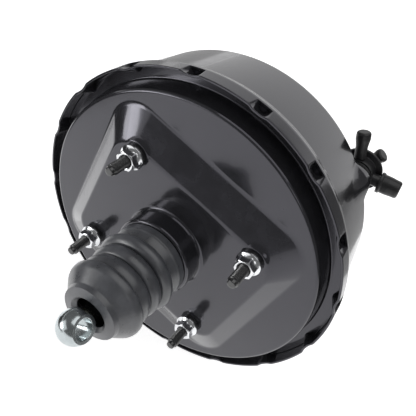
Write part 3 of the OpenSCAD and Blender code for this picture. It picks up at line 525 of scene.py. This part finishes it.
def shell_distance(p):
    """Signed distance, roughly, to the wall, shoulder and face together with the valve's boss."""
    shoulder_bend, boss_bend, meeting, change = 9.0, 3.0, 5.0, 12.0
    x, y, z = p[..., 0], p[..., 1], p[..., 2]
    wall = np.hypot(x, z) - wall_radius(y)
    boss = np.hypot(x - VALVE_X, z - VALVE_Z) - boss_radius(y)
    side = smooth_min(wall, boss, meeting)
    share = ease(0.5 + (wall - boss) / change)
    bend = shoulder_bend + (boss_bend - shoulder_bend) * share
    a = side + bend
    b = y - FRONT_Y + bend
    return np.minimum(np.maximum(a, b), 0.0) + np.hypot(np.maximum(a, 0.0), np.maximum(b, 0.0)) - bend


def front_path():
    """Outline of the front shell's sheet, out along its outside and back along its inside."""
    spigot_out = SPIGOT_R + SHEET
    cup_floor = FRONT_PAD_Y - SPIGOT_DEPTH
    cup_back = cup_floor - SHEET
    pad_back = FRONT_PAD_Y - SHEET
    face_back = FRONT_Y - SHEET
    lag = 2.0
    nip = 0.4
    outside = [(BAND_R, WINDOW_Y), (BAND_R, SLOPE_Y, 10.4), (WALL_R, SLOPE_END, 5.0),
               (SHOULDER_WALL_R - 0.8, FRONT_Y, 9.0), (FRONT_PAD_FOOT_R, FRONT_Y, 3.0),
               (FRONT_PAD_R, FRONT_PAD_Y, 2.2), (SPIGOT_R, FRONT_PAD_Y, 1.0),
               (SPIGOT_R, cup_floor, 0.8), (SPIGOT_HOLE_R, cup_floor, CUT_ROUND)]
    inside = [(SPIGOT_HOLE_R, cup_back, CUT_ROUND), (spigot_out, cup_back, 1.2),
              (spigot_out, pad_back, 0.8), (FRONT_PAD_R - lag, pad_back, 1.0),
              (FRONT_PAD_FOOT_R - lag, face_back, 1.0), (SHOULDER_WALL_R - SHEET, face_back, 7.4),
              (WALL_R - SHEET, SLOPE_END - nip, 1.0), (BAND_IN_R, SLOPE_Y - nip, 0.5),
              (BAND_IN_R, WINDOW_Y, CUT_ROUND)]
    return np.array(supported(fillet(outside + inside, step=4.0, limit=0.97), edge=0.3, longest=3.0))


def outward_normals(path):
    """A path's normals, turned to point away from the drum's middle."""
    step = np.roll(path, -1, axis=0) - np.roll(path, 1, axis=0)
    normal = np.stack([step[:, 1], -step[:, 0]], axis=1)
    normal /= np.linalg.norm(normal, axis=1)[:, None]
    return normal * np.where(normal.sum(axis=1) > 0, 1.0, -1.0)[:, None]


def raised_to_boss(base, ray):
    """Points moved out along their rays to the shell with its boss, where that is further out."""
    reach, back, tries, halvings = 16.0, -0.5, 67, 16
    stops = np.linspace(reach, back, tries)
    value = shell_distance(base[None] + stops[:, None, None] * ray[None])
    first = np.argmax(value <= 0, axis=0)
    found = value[first, np.arange(len(base))] <= 0
    high = stops[np.maximum(first - 1, 0)]
    low = stops[first]
    for _ in range(halvings):
        middle = (high + low) / 2
        hit = shell_distance(base + middle[:, None] * ray) <= 0
        low = np.where(hit, middle, low)
        high = np.where(hit, high, middle)
    return base + np.where(found, np.maximum(low, 0.0), 0.0)[:, None] * ray


def front_cup():
    """Front shell without its band, its columns closer together at the valve's boss."""
    boss_arc, boss_span = math.radians(17), math.radians(16.5)
    boss_columns, plain_columns = 160, 480
    outer_r, outer_y, skin = 80, 62, 0.8
    path = front_path()
    fine = np.linspace(VALVE_ANGLE - boss_arc, VALVE_ANGLE + boss_arc, boss_columns)
    rest = np.linspace(VALVE_ANGLE + boss_arc, VALVE_ANGLE + TAU - boss_arc, plain_columns)
    angles = np.concatenate([fine, rest[1:-1]])
    points = polar(*ring_grid(path, angles))
    near = np.abs(angles - VALVE_ANGLE) < boss_span
    for i, (point, n) in enumerate(zip(path, outward_normals(path))):
        if point[0] <= outer_r or point[1] <= outer_y:
            continue
        if shell_distance(np.array([point[0], point[1], 0.0])) > -skin:
            ray = polar(n[0], np.full(near.sum(), n[1]), angles[near])
            points[i][near] = raised_to_boss(points[i][near], ray)
    return add_mesh("front_cup", points.reshape(-1, 3), grid_faces(*points.shape[:2], wrap_rows=True))


front_skin = joined("front_shell_skin", [front_band(), front_cup()])
front_skin.data.set_sharp_from_angle(angle=math.radians(SHARP_DEG))
put(front_skin, "housing", BLACK_PAINT, "shell_paint", "front_shell")


# Rear shell: neck, pad with its conical corners, stud bosses, face and side wall
def round_rect_distance(x, z, hx, hz, r):
    """Signed distance to a rectangle of half sizes hx and hz with corners rounded by r."""
    qx = np.abs(x) - (hx - r)
    qz = np.abs(z) - (hz - r)
    outside = np.hypot(np.maximum(qx, 0), np.maximum(qz, 0))
    return outside + np.minimum(np.maximum(qx, qz), 0) - r


def pad_share(x, z):
    """0 on the outline of the pad's flat top, 1 on the outline of its foot, and beyond at both ends."""
    least, most, halvings = -0.5, 1.6, 26
    low = np.full_like(x, least)
    high = np.full_like(x, most)
    for _ in range(halvings):
        t = (low + high) / 2
        outline = [top + t * (foot - top) for top, foot in zip(PAD_TOP, PAD_FOOT)]
        d = round_rect_distance(x, z, *outline)
        low = np.where(d > 0, t, low)
        high = np.where(d > 0, high, t)
    return (low + high) / 2


def pad_level(x, z):
    """Level of the pad, its slopes and the stud bosses over the face."""
    edge_soft, boss_slope, boss_soft = 0.08, 1.5, 0.9
    meeting, meeting_from, least = 1.4, 1.2, 1e-9
    t = pad_share(x, z)
    y = PAD_Y + PAD_RISE * smooth_min(smooth_max(t, 0.0, edge_soft), 1.0, edge_soft)
    rho = np.hypot(np.abs(x) - STUD_X, np.abs(z) - STUD_Z)
    boss = PAD_Y + smooth_max((rho - STUD_BOSS_R) * boss_slope, 0.0, boss_soft)
    return smooth_min(y, boss, np.maximum(meeting * ease((y - PAD_Y) / meeting_from), least))


def rear_skin():
    """Rear shell from its neck's lip to the flange inside the band."""
    columns, face_rows = 768, 132
    neck_foot, face_margin = 5.6, 4.2
    angles = np.arange(columns) * TAU / columns
    neck = fillet([(LIP_R, NECK_BACK + SHEET), (LIP_R, NECK_BACK, CUT_ROUND),
                   (NECK_R, NECK_BACK, 2.0), (NECK_R, PAD_Y, 5.0), (NECK_R + neck_foot, PAD_Y)],
                  closed=False, step=8.0)
    rim = fillet([(FACE_R - face_margin, FACE_Y), (FACE_R, FACE_Y, 3.8), (SIDE_R, FLANGE_Y, 1.2),
                  (BAND_IN_R - 0.4, FLANGE_Y)], closed=False, step=7.0)
    neck = polar(*ring_grid(np.array(supported(neck, closed=False, edge=0.3)), angles))
    rim = polar(*ring_grid(np.array(supported(rim, closed=False, edge=0.3)), angles))
    spread = np.linspace(NECK_R + neck_foot + 0.6, FACE_R - face_margin - 0.4, face_rows)
    face = polar(spread[:, None], np.zeros((len(spread), columns)), angles[None])
    face[..., 1] = pad_level(face[..., 0], face[..., 2])
    rows = np.concatenate([neck, face, rim])
    obj = add_mesh("rear_shell_skin", rows.reshape(-1, 3), grid_faces(*rows.shape[:2]), sharp=50)
    obj.data.flip_normals()
    return obj


put(rear_skin(), "housing", BLACK_PAINT, "shell_paint", "rear_shell")


# Studs, nuts and collars
def threaded(name, place, start, end, tip):
    """Stud from the level start to end with a helical thread, closed by a point at both ends.

    The tip is a path of (radius, level) past the thread.
    """
    sides, rows_per_turn = 48, 12
    flat, flank = 0.1, 0.74
    origin, along = place[0], place[2]
    turn = np.arange(sides) * TAU / sides
    ring = ring_directions(turn, place)
    rows = [origin + start * along + 0.0 * ring]
    for level in np.linspace(start, end, int((end - start) / (THREAD_PITCH / rows_per_turn))):
        phase = (level / THREAD_PITCH - turn / TAU) % 1.0
        tooth = np.abs(phase - 0.5) * 2.0
        shape = np.clip((tooth - flat) / flank, 0.0, 1.0)
        fade = min(1.0, (end - level) / THREAD_PITCH, (level - start) / THREAD_PITCH)
        r = STUD_R - THREAD_DEPTH * (1 - shape) * fade
        rows.append(origin + r[:, None] * ring + level * along)
    rows += [origin + r * ring + y * along for r, y in tip]
    rows.append(origin + tip[-1][1] * along + 0.0 * ring)
    return add_mesh(name, np.concatenate(rows), grid_faces(len(rows), sides), sharp=60)


def nut(name, place, turned):
    """Hex flange nut from the level 0 back to its height, with a domed chamfer and a conical flange."""
    columns, cone_rows = 144, 14
    chamfer_h, edge_in, slope, dome = 1.5, 0.42, 1.55, 0.05
    angles = turned + np.arange(columns) * TAU / columns
    sector = (angles - turned) % (TAU / 6) - TAU / 12
    hexagon = np.minimum(NUT_HALF / np.cos(sector), NUT_CORNER_R)
    top, flat = -NUT_H, NUT_HALF - edge_in
    face = [(NUT_BORE_R - 0.05, top + 0.9), (NUT_BORE_R, top + 0.6), (NUT_BORE_R + 0.6, top + 0.14),
            (NUT_BORE_R + 0.9, top), (NUT_BORE_R + 1.4, top), (flat - 0.12, top)]
    rows = [(np.full(columns, r), y) for r, y in face]
    for k in range(1, cone_rows + 1):
        down = 0.02 + chamfer_h * k / cone_rows
        cone = flat + down * slope - dome * down ** 2
        rows.append((np.minimum(hexagon, cone), top + down))
    rows += [(hexagon, y) for y in (-6.2, -4.6, -3.2)]
    rows += [(np.maximum(r, hexagon), y) for r, y in ((7.0, -2.62), (7.6, -2.1), (8.2, -1.62))]
    rows += [(np.full(columns, r), y) for r, y in (
        (8.62, -1.4), (8.84, -1.2), (8.92, -0.9), (8.95, -0.35), (8.8, -0.1), (8.5, 0.0),
        (NUT_BORE_R, 0.0))]
    origin, along = place[0], place[2]
    ring = ring_directions(angles, place)
    points = np.concatenate([origin + r[:, None] * ring + y * along for r, y in rows])
    return add_mesh(name, points, grid_faces(len(rows), columns, wrap_rows=True), sharp=32)


def firewall_stud_sets():
    """The four studs, nuts and collars, each nut turned by its own angle as in the photo."""
    turns = {(-1, -1): 12, (-1, 1): 40, (1, -1): 27, (1, 1): 3}
    tip = [(STUD_R - 0.45, STUD_THREAD_END + 0.25), (STUD_POINT_R + 0.1, STUD_THREAD_END + 0.85),
           (STUD_POINT_R + 0.02, STUD_THREAD_END + 1.0), (STUD_POINT_R, STUD_END - 0.6),
           (STUD_POINT_R - 0.2, STUD_END - 0.2), (STUD_POINT_R - 0.6, STUD_END), (1.2, STUD_END)]
    edge = 0.02
    collar = fillet([(COLLAR_BORE_R, edge, 0.2), (COLLAR_R, edge, 0.5), (COLLAR_R, COLLAR_T, 0.2),
                     (COLLAR_BORE_R, COLLAR_T)])
    studs, nuts, collars = [], [], []
    for (sx, sz), turn in turns.items():
        spot = (sx * STUD_X, 0, sz * STUD_Z)
        place = axis_frame(spot, (0, 1, 0))
        back = axis_frame(spot, (0, -1, 0))
        studs.append(threaded("stud", back, STUD_FOOT, STUD_THREAD_END, tip))
        nuts.append(nut("nut", place, math.radians(turn)))
        collars.append(lathe("collar", supported(collar), 96, place))
    return studs, nuts, collars


def master_cylinder_studs():
    """The two studs on the front face."""
    tip = [(STUD_R - 0.3, MC_STUD_END - 0.9), (STUD_R - 1.0, MC_STUD_END - 0.15),
           (STUD_R - 1.3, MC_STUD_END), (1.2, MC_STUD_END)]
    return [threaded("front_stud", axis_frame((sx * MC_STUD_X, 0, 0)), MC_STUD_FOOT, MC_THREAD_END, tip)
            for sx in (-1, 1)]


studs, nuts, collars = firewall_stud_sets()
put(joined("stud_threads", studs), "housing", BLACK_STEEL, "black_steel", "firewall_studs")
put(joined("nut_set", nuts), "housing", ZINC, "zinc_steel", "flange_nuts")
put(joined("collar_set", collars), "housing", BLACK_STEEL, "black_steel", "stud_collars")
put(joined("front_stud_threads", master_cylinder_studs()), "housing", ZINC, "zinc_steel",
    "master_cylinder_studs")


# Boot
def ridge(y, r):
    """One ring of the bellows, from valley to valley round its crest."""
    count, fullness = 18, 0.55
    us = [2 * i / count - 1 for i in range(count)]
    return [np.array((BOOT_VALLEY_R + (r - BOOT_VALLEY_R) * (1 - u * u) ** fullness,
                      y - u * BOOT_RING_HALF)) for u in us]


def boot_path():
    """The boot's cuff, rings, stiff nose with its funnel round the rod, and its inside."""
    outside = fillet([(BOOT_SEAT_R, BOOT_CUFF_FRONT, 0.2), (BOOT_CUFF_R, BOOT_CUFF_FRONT, 0.6),
                      (BOOT_CUFF_R, BOOT_CUFF_BACK, 0.8), (BOOT_CUFF_R - 0.8, BOOT_CUFF_BACK - 1.1, 0.5),
                      (BOOT_VALLEY_R + 1.0, BOOT_RING_Y + 6.25)], closed=False, step=10.0)
    for i, r in enumerate(BOOT_RINGS):
        outside += ridge(BOOT_RING_Y - 2 * BOOT_RING_HALF * i, r)
    last_valley = BOOT_RING_Y - BOOT_RING_HALF * (2 * len(BOOT_RINGS) - 1)
    nose = fillet([(BOOT_VALLEY_R, last_valley), (BOOT_NOSE_R, -57.6, 2.6), (BOOT_NOSE_R, -62.6, 6.4),
                   (20.4, -71.6, 1.2), (19.9, -73.4, 0.5), (19.5, -74.95, 0.5),
                   (BOOT_MOUTH_R + 2.3, -76.1, 0.4), (BOOT_MOUTH_R, -73.7, 0.4)],
                  closed=False, step=9.0)
    inside = fillet([(BOOT_MOUTH_R, -72.95), (18.3, -72.35, 1.0), (BOOT_NOSE_IN_R, -63.0, 4.0),
                     (BOOT_NOSE_IN_R, -61.3, 1.0), (BOOT_IN_R, -59.9, 1.0), (BOOT_IN_R, -9.5, 0.5),
                     (BOOT_IN_R + 4.0, -10.2, 0.5), (BOOT_IN_R + 4.0, -11.5, 0.2),
                     (BOOT_SEAT_R, -11.5)], closed=False, step=12.0)
    return supported(outside + nose + inside, edge=0.25, longest=1.6)


boot = lathe("boot_skin", boot_path(), 320, sharp=42)
boot.data.materials.append(BOOT_RUBBER)
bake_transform(boot)
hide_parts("boot")


# Input rod with its ball eye
def ball_eye():
    """Ball with two flats and a cross hole, turned about the hole's axis."""
    flat_r = math.sqrt(EYE_R ** 2 - EYE_HALF ** 2)
    bore = [(EYE_HOLE_R, 0.0), (EYE_HOLE_R, EYE_HALF, 0.55), (flat_r, EYE_HALF)]
    side = fillet(bore, closed=False, step=12.0)[1:-1]
    flat = [np.array((EYE_HOLE_R + 0.6, EYE_HALF)), np.array((flat_r, EYE_HALF))]
    side += supported(flat, closed=False, edge=0.12)[1:-1]
    limit = math.atan2(flat_r, EYE_HALF)
    arc = [EYE_R * np.array((math.sin(t), math.cos(t))) for t in np.linspace(limit, math.pi - limit, 61)]
    path = [np.array((EYE_HOLE_R, 0.0))] + side + arc + [p * (1, -1) for p in reversed(side)]
    direction = (math.cos(EYE_TURN), 0, math.sin(EYE_TURN))
    return lathe("eye", path, 128, axis_frame((0, EYE_Y, 0), direction, up=(0, 1, 0)), sharp=35)


def rod_shaft():
    """Rod from its round end in the plunger to the foot of the ball."""
    root, start, end, count = SOCKET_Y - 3.4, 0.15, 2.1, 16
    ball = [SOCKET_R * np.array((math.sin(t), math.cos(t))) + (0, SOCKET_Y)
            for t in np.linspace(start, end, count)]
    path = [np.array((0.0, SOCKET_Y + SOCKET_R))] + [p for p in ball if p[1] > root]
    shaft = fillet([(ROD_R, root - 0.2), (ROD_R, -74.4, 2.0), (ROD_NECK_R, -77.4, 1.0),
                    (ROD_NECK_R, ROD_END), (0.0, ROD_END)], closed=False)
    path += supported(shaft, closed=False, edge=0.3, longest=6)
    return lathe("shaft", path, 96, closed=False, sharp=40)


put(joined("push_rod", [rod_shaft(), ball_eye()]), "rod", CHROME, "rod_steel", "input_rod")


# Check valve with its ports and caps
def port_place(port):
    """Place of a port, along it from the valve's axis."""
    a = math.radians(port[0])
    return axis_frame((VALVE_X, port[1], VALVE_Z), (math.cos(a), 0, math.sin(a)), up=(0, 1, 0))


def valve_parts():
    """The valve's base in its grommet, and its cover with the ports."""
    place = axis_frame((VALVE_X, 0, VALVE_Z), (0, 1, 0), up=(1, 0, 0))
    base = fillet([(5.1, 90.0, 0.3), (6.9, 90.0, 0.4), (8.1, 93.3, 0.2), (8.1, 94.3, 0.2),
                   (7.5, 94.5, 0.2), (7.5, 100.4, 0.3), (9.4, 100.4, 0.5), (11.2, 101.6, 0.4),
                   (11.2, VALVE_BASE_END, 0.15), (5.1, VALVE_BASE_END)])
    base = lathe("valve_base", supported(base), 128, place)
    cover = fillet([(0.0, VALVE_COVER_Y), (VALVE_NECK_R, VALVE_COVER_Y, 0.3),
                    (VALVE_NECK_R, VALVE_RIM_Y, 0.5), (VALVE_RIM_R, VALVE_RIM_Y, 0.5),
                    (VALVE_RIM_R, VALVE_RIM_END - 1.0, 0.8), (VALVE_RIM_R - 1.4, VALVE_RIM_END, 0.8),
                    (TURRET_R, VALVE_RIM_END, 0.6), (TURRET_R, TURRET_END - 1.0, 0.5),
                    (TURRET_R - 1.0, TURRET_END, 0.5), (0.0, TURRET_END)], closed=False)
    cover = supported(cover, closed=False, longest=3)
    parts = [lathe("cover", cover, 160, place, closed=False)]
    for port in (SLIM_PORT, WIDE_PORT, TOP_PORT):
        start, end, r, bore = port[2:]
        tube = fillet([(bore, start), (r, start), (r, end, 0.3), (bore, end, 0.2)])
        parts.append(lathe("port", supported(tube), 48, port_place(port)))
    return base, joined("valve_cover", parts)


def cap(name, port, start, length, mouth_t, neck_t, end_t):
    """Closed rubber cap: a lipped mouth, a waist and a rounded bulb at its end."""
    fit, end_wall, waist_share, bulb_share = 0.1, 1.6, 0.45, 0.74
    inner = port[4] + fit
    mouth, neck, end = inner + mouth_t, inner + neck_t, inner + end_t
    close = start + length
    inner_end = close - end_wall
    outside = [(inner, start, 0.15), (mouth, start, 0.35), (mouth, start + 1.9, 0.35),
               (neck, start + 2.9, 0.8), (neck, start + length * waist_share, 2.5),
               (end, start + length * bulb_share, 3.0), (end - 0.15, close, 1.9), (0.0, close)]
    path = supported(fillet(outside, closed=False, step=11.0), closed=False, longest=2)
    path += [np.array([0.0, inner_end]), np.array([inner, inner_end])]
    return lathe(name, path, 72, port_place(port), sharp=40)


valve_base, valve_cover = valve_parts()
slim_walls = dict(mouth_t=0.9, neck_t=0.75, end_t=1.7)
slim_caps = [cap("slim_cap", SLIM_PORT, start=12.3, length=20.2, **slim_walls),
             cap("top_cap", TOP_PORT, start=7.3, length=11.0, **slim_walls)]
slim_caps = joined("slim_caps", slim_caps)
wide_cap = cap("wide_cap", WIDE_PORT, start=16.7, length=15.3, mouth_t=3.0, neck_t=2.2, end_t=1.8)
put(valve_base, "housing", VALVE_PLASTIC, "valve_plastic", "check_valve_base")
put(valve_cover, "housing", VALVE_PLASTIC, "valve_plastic", "check_valve_cover")
put(slim_caps, "housing", CAP_RUBBER, "cap_rubber", "slim_port_caps")
put(wide_cap, "housing", CAP_RUBBER, "cap_rubber", "wide_port_cap")


# Springs, drawn as in the CAD
def coil(name, r0, r1, y0, y1, turns, wire, x, z):
    """Coil spring with closer turns at its ends, its radius going from r0 to r1."""
    sides, per_turn, closing = 10, 26, 0.35
    steps = int(turns * per_turn)
    points = []
    for i in range(steps + 1):
        u = i / steps
        a = TAU * turns * u
        r = r0 + (r1 - r0) * u
        y = y0 + wire / 2 + (y1 - y0 - wire) * (u - closing * math.sin(TAU * u) / TAU)
        for j in range(sides):
            b = TAU * j / sides
            out = r + wire / 2 * math.cos(b)
            points.append((x + out * math.cos(a), y + wire / 2 * math.sin(b), z - out * math.sin(a)))
    faces = grid_faces(steps + 1, sides)
    faces.append(tuple(range(sides)))
    faces.append(tuple(range(steps * sides + sides - 1, steps * sides - 1, -1)))
    return add_mesh(name, points, faces, sharp=50)


def spring(node, body, r0, r1, turns, wire, x=0.0, z=0.0):
    """Spring in a node's place, from one end of the node's box to the other."""
    low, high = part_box(node)
    obj = coil(node + "_coil", r0, r1, low[1] / MM, high[1] / MM, turns, wire, x, z)
    put(obj, body, SPRING, "spring_steel", node)
    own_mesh(obj)


spring("return_spring", "housing", r0=20.5, r1=29, turns=4.5, wire=3.4)
spring("rod_return_spring", "piston", r0=11.6, r1=13.4, turns=4, wire=1.8)
spring("check_valve_spring", "housing", r0=4.0, r1=6.0, turns=3, wire=0.8,
       x=VALVE_X, z=VALVE_Z)

# CAD pieces that stay as they are, by material
KEPT = (
    (DIAPHRAGM, ("diaphragm",)),
    (PLATED, ("stud_plate", "front_ring", "support_plate", "output_rod_retainer", "rod_spring_seat")),
    (SEAL_RUBBER, ("front_seal", "neck_bearing", "reaction_disc", "poppet_valve", "valve_grommet",
                   "check_valve_disc")),
    (ZINC, ("bearing_retainer", "piston_key", "poppet_retainer")),
    (BODY_PLASTIC, ("valve_body", "filter_retainer")),
    (CHROME, ("output_rod",)),
    (BRASS, ("valve_plunger",)),
    (SPRING, ("poppet_spring",)),
    (FOAM, ("air_filter",)),
    (FELT, ("silencer_felt",)),
)
for material, names in KEPT:
    for name in names:
        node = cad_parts[name]
        node.data.materials.clear()
        node.data.materials.append(material)

# Floor, light and camera, in metres
FLOOR_Z = -(BAND_R + 0.2) * MM
FLOOR_HALF = 6.0
DOME_R = 5.6
WHITE = (1, 1, 1, 1)


def plain_material(name, shade, rough, glow):
    """A matt material of one grey that also gives light of its own."""
    material, _, shader = new_material(name)
    shader.inputs["Base Color"].default_value = (shade, shade, shade, 1)
    shader.inputs["Roughness"].default_value = rough
    shader.inputs["Emission Color"].default_value = WHITE
    shader.inputs["Emission Strength"].default_value = glow
    return material


def flat_mesh(name, corners, faces, level):
    """Flat mesh at a level, from corners given as (x, y)."""
    mesh = bpy.data.meshes.new(name)
    mesh.from_pydata([(x, y, level) for x, y in corners], [], faces)
    return linked(name, mesh)


def floor():
    """Pale floor under the band."""
    s = FLOOR_HALF
    obj = flat_mesh("floor", [(-s, -s), (s, -s), (s, s), (-s, s)], [(0, 1, 2, 3)], FLOOR_Z)
    material, tree, shader = new_material("floor_white")
    soft = noise(tree, 3.0, detail=3.0, rough=0.5)
    tree.links.new(mixed(tree, soft, (0.9, 0.9, 0.9), (0.93, 0.93, 0.93)), shader.inputs["Base Color"])
    shader.inputs["Roughness"].default_value = 0.9
    shader.inputs["Specular IOR Level"].default_value = 0.1
    shader.inputs["Emission Color"].default_value = WHITE
    shader.inputs["Emission Strength"].default_value = 0.8
    obj.data.materials.append(material)


def backdrop():
    """Pale dome behind the floor that only the camera sees."""
    work = bmesh.new()
    bmesh.ops.create_uvsphere(work, u_segments=64, v_segments=32, radius=DOME_R)
    mesh = bpy.data.meshes.new("backdrop")
    work.to_mesh(mesh)
    work.free()
    obj = linked("backdrop", mesh)
    obj.visible_diffuse = False
    obj.visible_glossy = False
    obj.visible_shadow = False
    mesh.materials.append(plain_material("backdrop_white", shade=0.0, rough=0.5, glow=0.92))


def card(name, corners, faces, shade, glow):
    """Card on the floor that is only seen mirrored in the paint."""
    obj = flat_mesh(name, corners, faces, FLOOR_Z + 0.0012)
    obj.visible_camera = False
    obj.visible_diffuse = False
    obj.visible_shadow = False
    obj.data.materials.append(plain_material(name, shade, rough=0.9, glow=glow))


def softbox(name, azimuth, elevation, distance, size, glow, target=(0, 0, 0)):
    """Flat light of a given glow, in a direction from the target. Azimuth 0 is towards +Y."""
    az, el = math.radians(azimuth), math.radians(elevation)
    away = Vector((math.sin(az) * math.cos(el), math.cos(az) * math.cos(el), math.sin(el)))
    light = bpy.data.lights.new(name, "AREA")
    light.shape = "RECTANGLE"
    light.size, light.size_y = size
    light.energy = glow * math.pi / 2 * size[0] * size[1]
    obj = linked(name, light)
    obj.location = Vector(target) + away * distance
    obj.rotation_euler = away.to_track_quat("Z", "Y").to_euler()
    obj.visible_camera = False
    return obj


def studio():
    """Floor, soft lights, cards for the paint's dark reflections, and a faint world."""
    floor()
    backdrop()
    softbox("ceiling", azimuth=0, elevation=90, distance=2.2, size=(2.4, 2.4), glow=2.2)
    softbox("back_panel", azimuth=-8, elevation=14, distance=1.5, size=(2.1, 1.2), glow=1.45)
    softbox("left_panel", azimuth=-141, elevation=-9, distance=0.57, size=(0.26, 0.155), glow=12.0,
            target=(-0.067, 0.003, 0.053))
    softbox("left_wall", azimuth=-137, elevation=10, distance=1.5, size=(1.2, 0.66), glow=1.8)
    softbox("right_panel", azimuth=138, elevation=38, distance=1.5, size=(0.4, 0.4), glow=2.6)
    reflector = softbox("low_reflector", azimuth=0, elevation=90, distance=0.0, size=(0.2, 0.072),
                        glow=0.7, target=(-0.2, 0.026, -0.122))
    reflector.rotation_euler = (math.pi, 0, 0)
    left, right, notch = -1.5, -0.2, -0.3
    near, step, far = -0.7, -0.055, 0.4
    card("black_card", [(left, near), (right, near), (right, step), (notch, step), (notch, far),
                        (left, far)], [(0, 1, 2, 3), (0, 3, 4, 5)], shade=0.02, glow=0.0)
    side, start, end = 4.0, 0.42, 5.0
    card("grey_card", [(-side, start), (side, start), (side, end), (-side, end)], [(0, 1, 2, 3)],
         shade=0.35, glow=0.25)
    world = bpy.data.worlds.new("studio")
    world.use_nodes = True
    background = world.node_tree.nodes["Background"]
    background.inputs["Color"].default_value = WHITE
    background.inputs["Strength"].default_value = 0.17
    bpy.context.scene.world = world


def photo_camera():
    """Camera with the place, turn and field fitted to the photograph. Azimuth 0 looks along +Y."""
    place = Vector((36.911, -221.636, 272.732)) * MM
    azimuth, elevation, roll = math.radians(7.225), math.radians(43.716), math.radians(37.214)
    back = Vector((math.sin(azimuth) * math.cos(elevation), -math.cos(azimuth) * math.cos(elevation),
                   math.sin(elevation)))
    data = bpy.data.cameras.new("photo_camera")
    data.sensor_width = 36.0
    data.lens = 43.12
    data.clip_start = 0.01
    data.clip_end = 50.0
    camera = linked("photo_camera", data)
    turn = back.to_track_quat("Z", "Y").to_matrix().to_4x4() @ Matrix.Rotation(roll, 4, "Z")
    camera.matrix_world = Matrix.Translation(place) @ turn
    bpy.context.scene.camera = camera


studio()
photo_camera()
bpy.context.scene.view_settings.view_transform = "Standard"
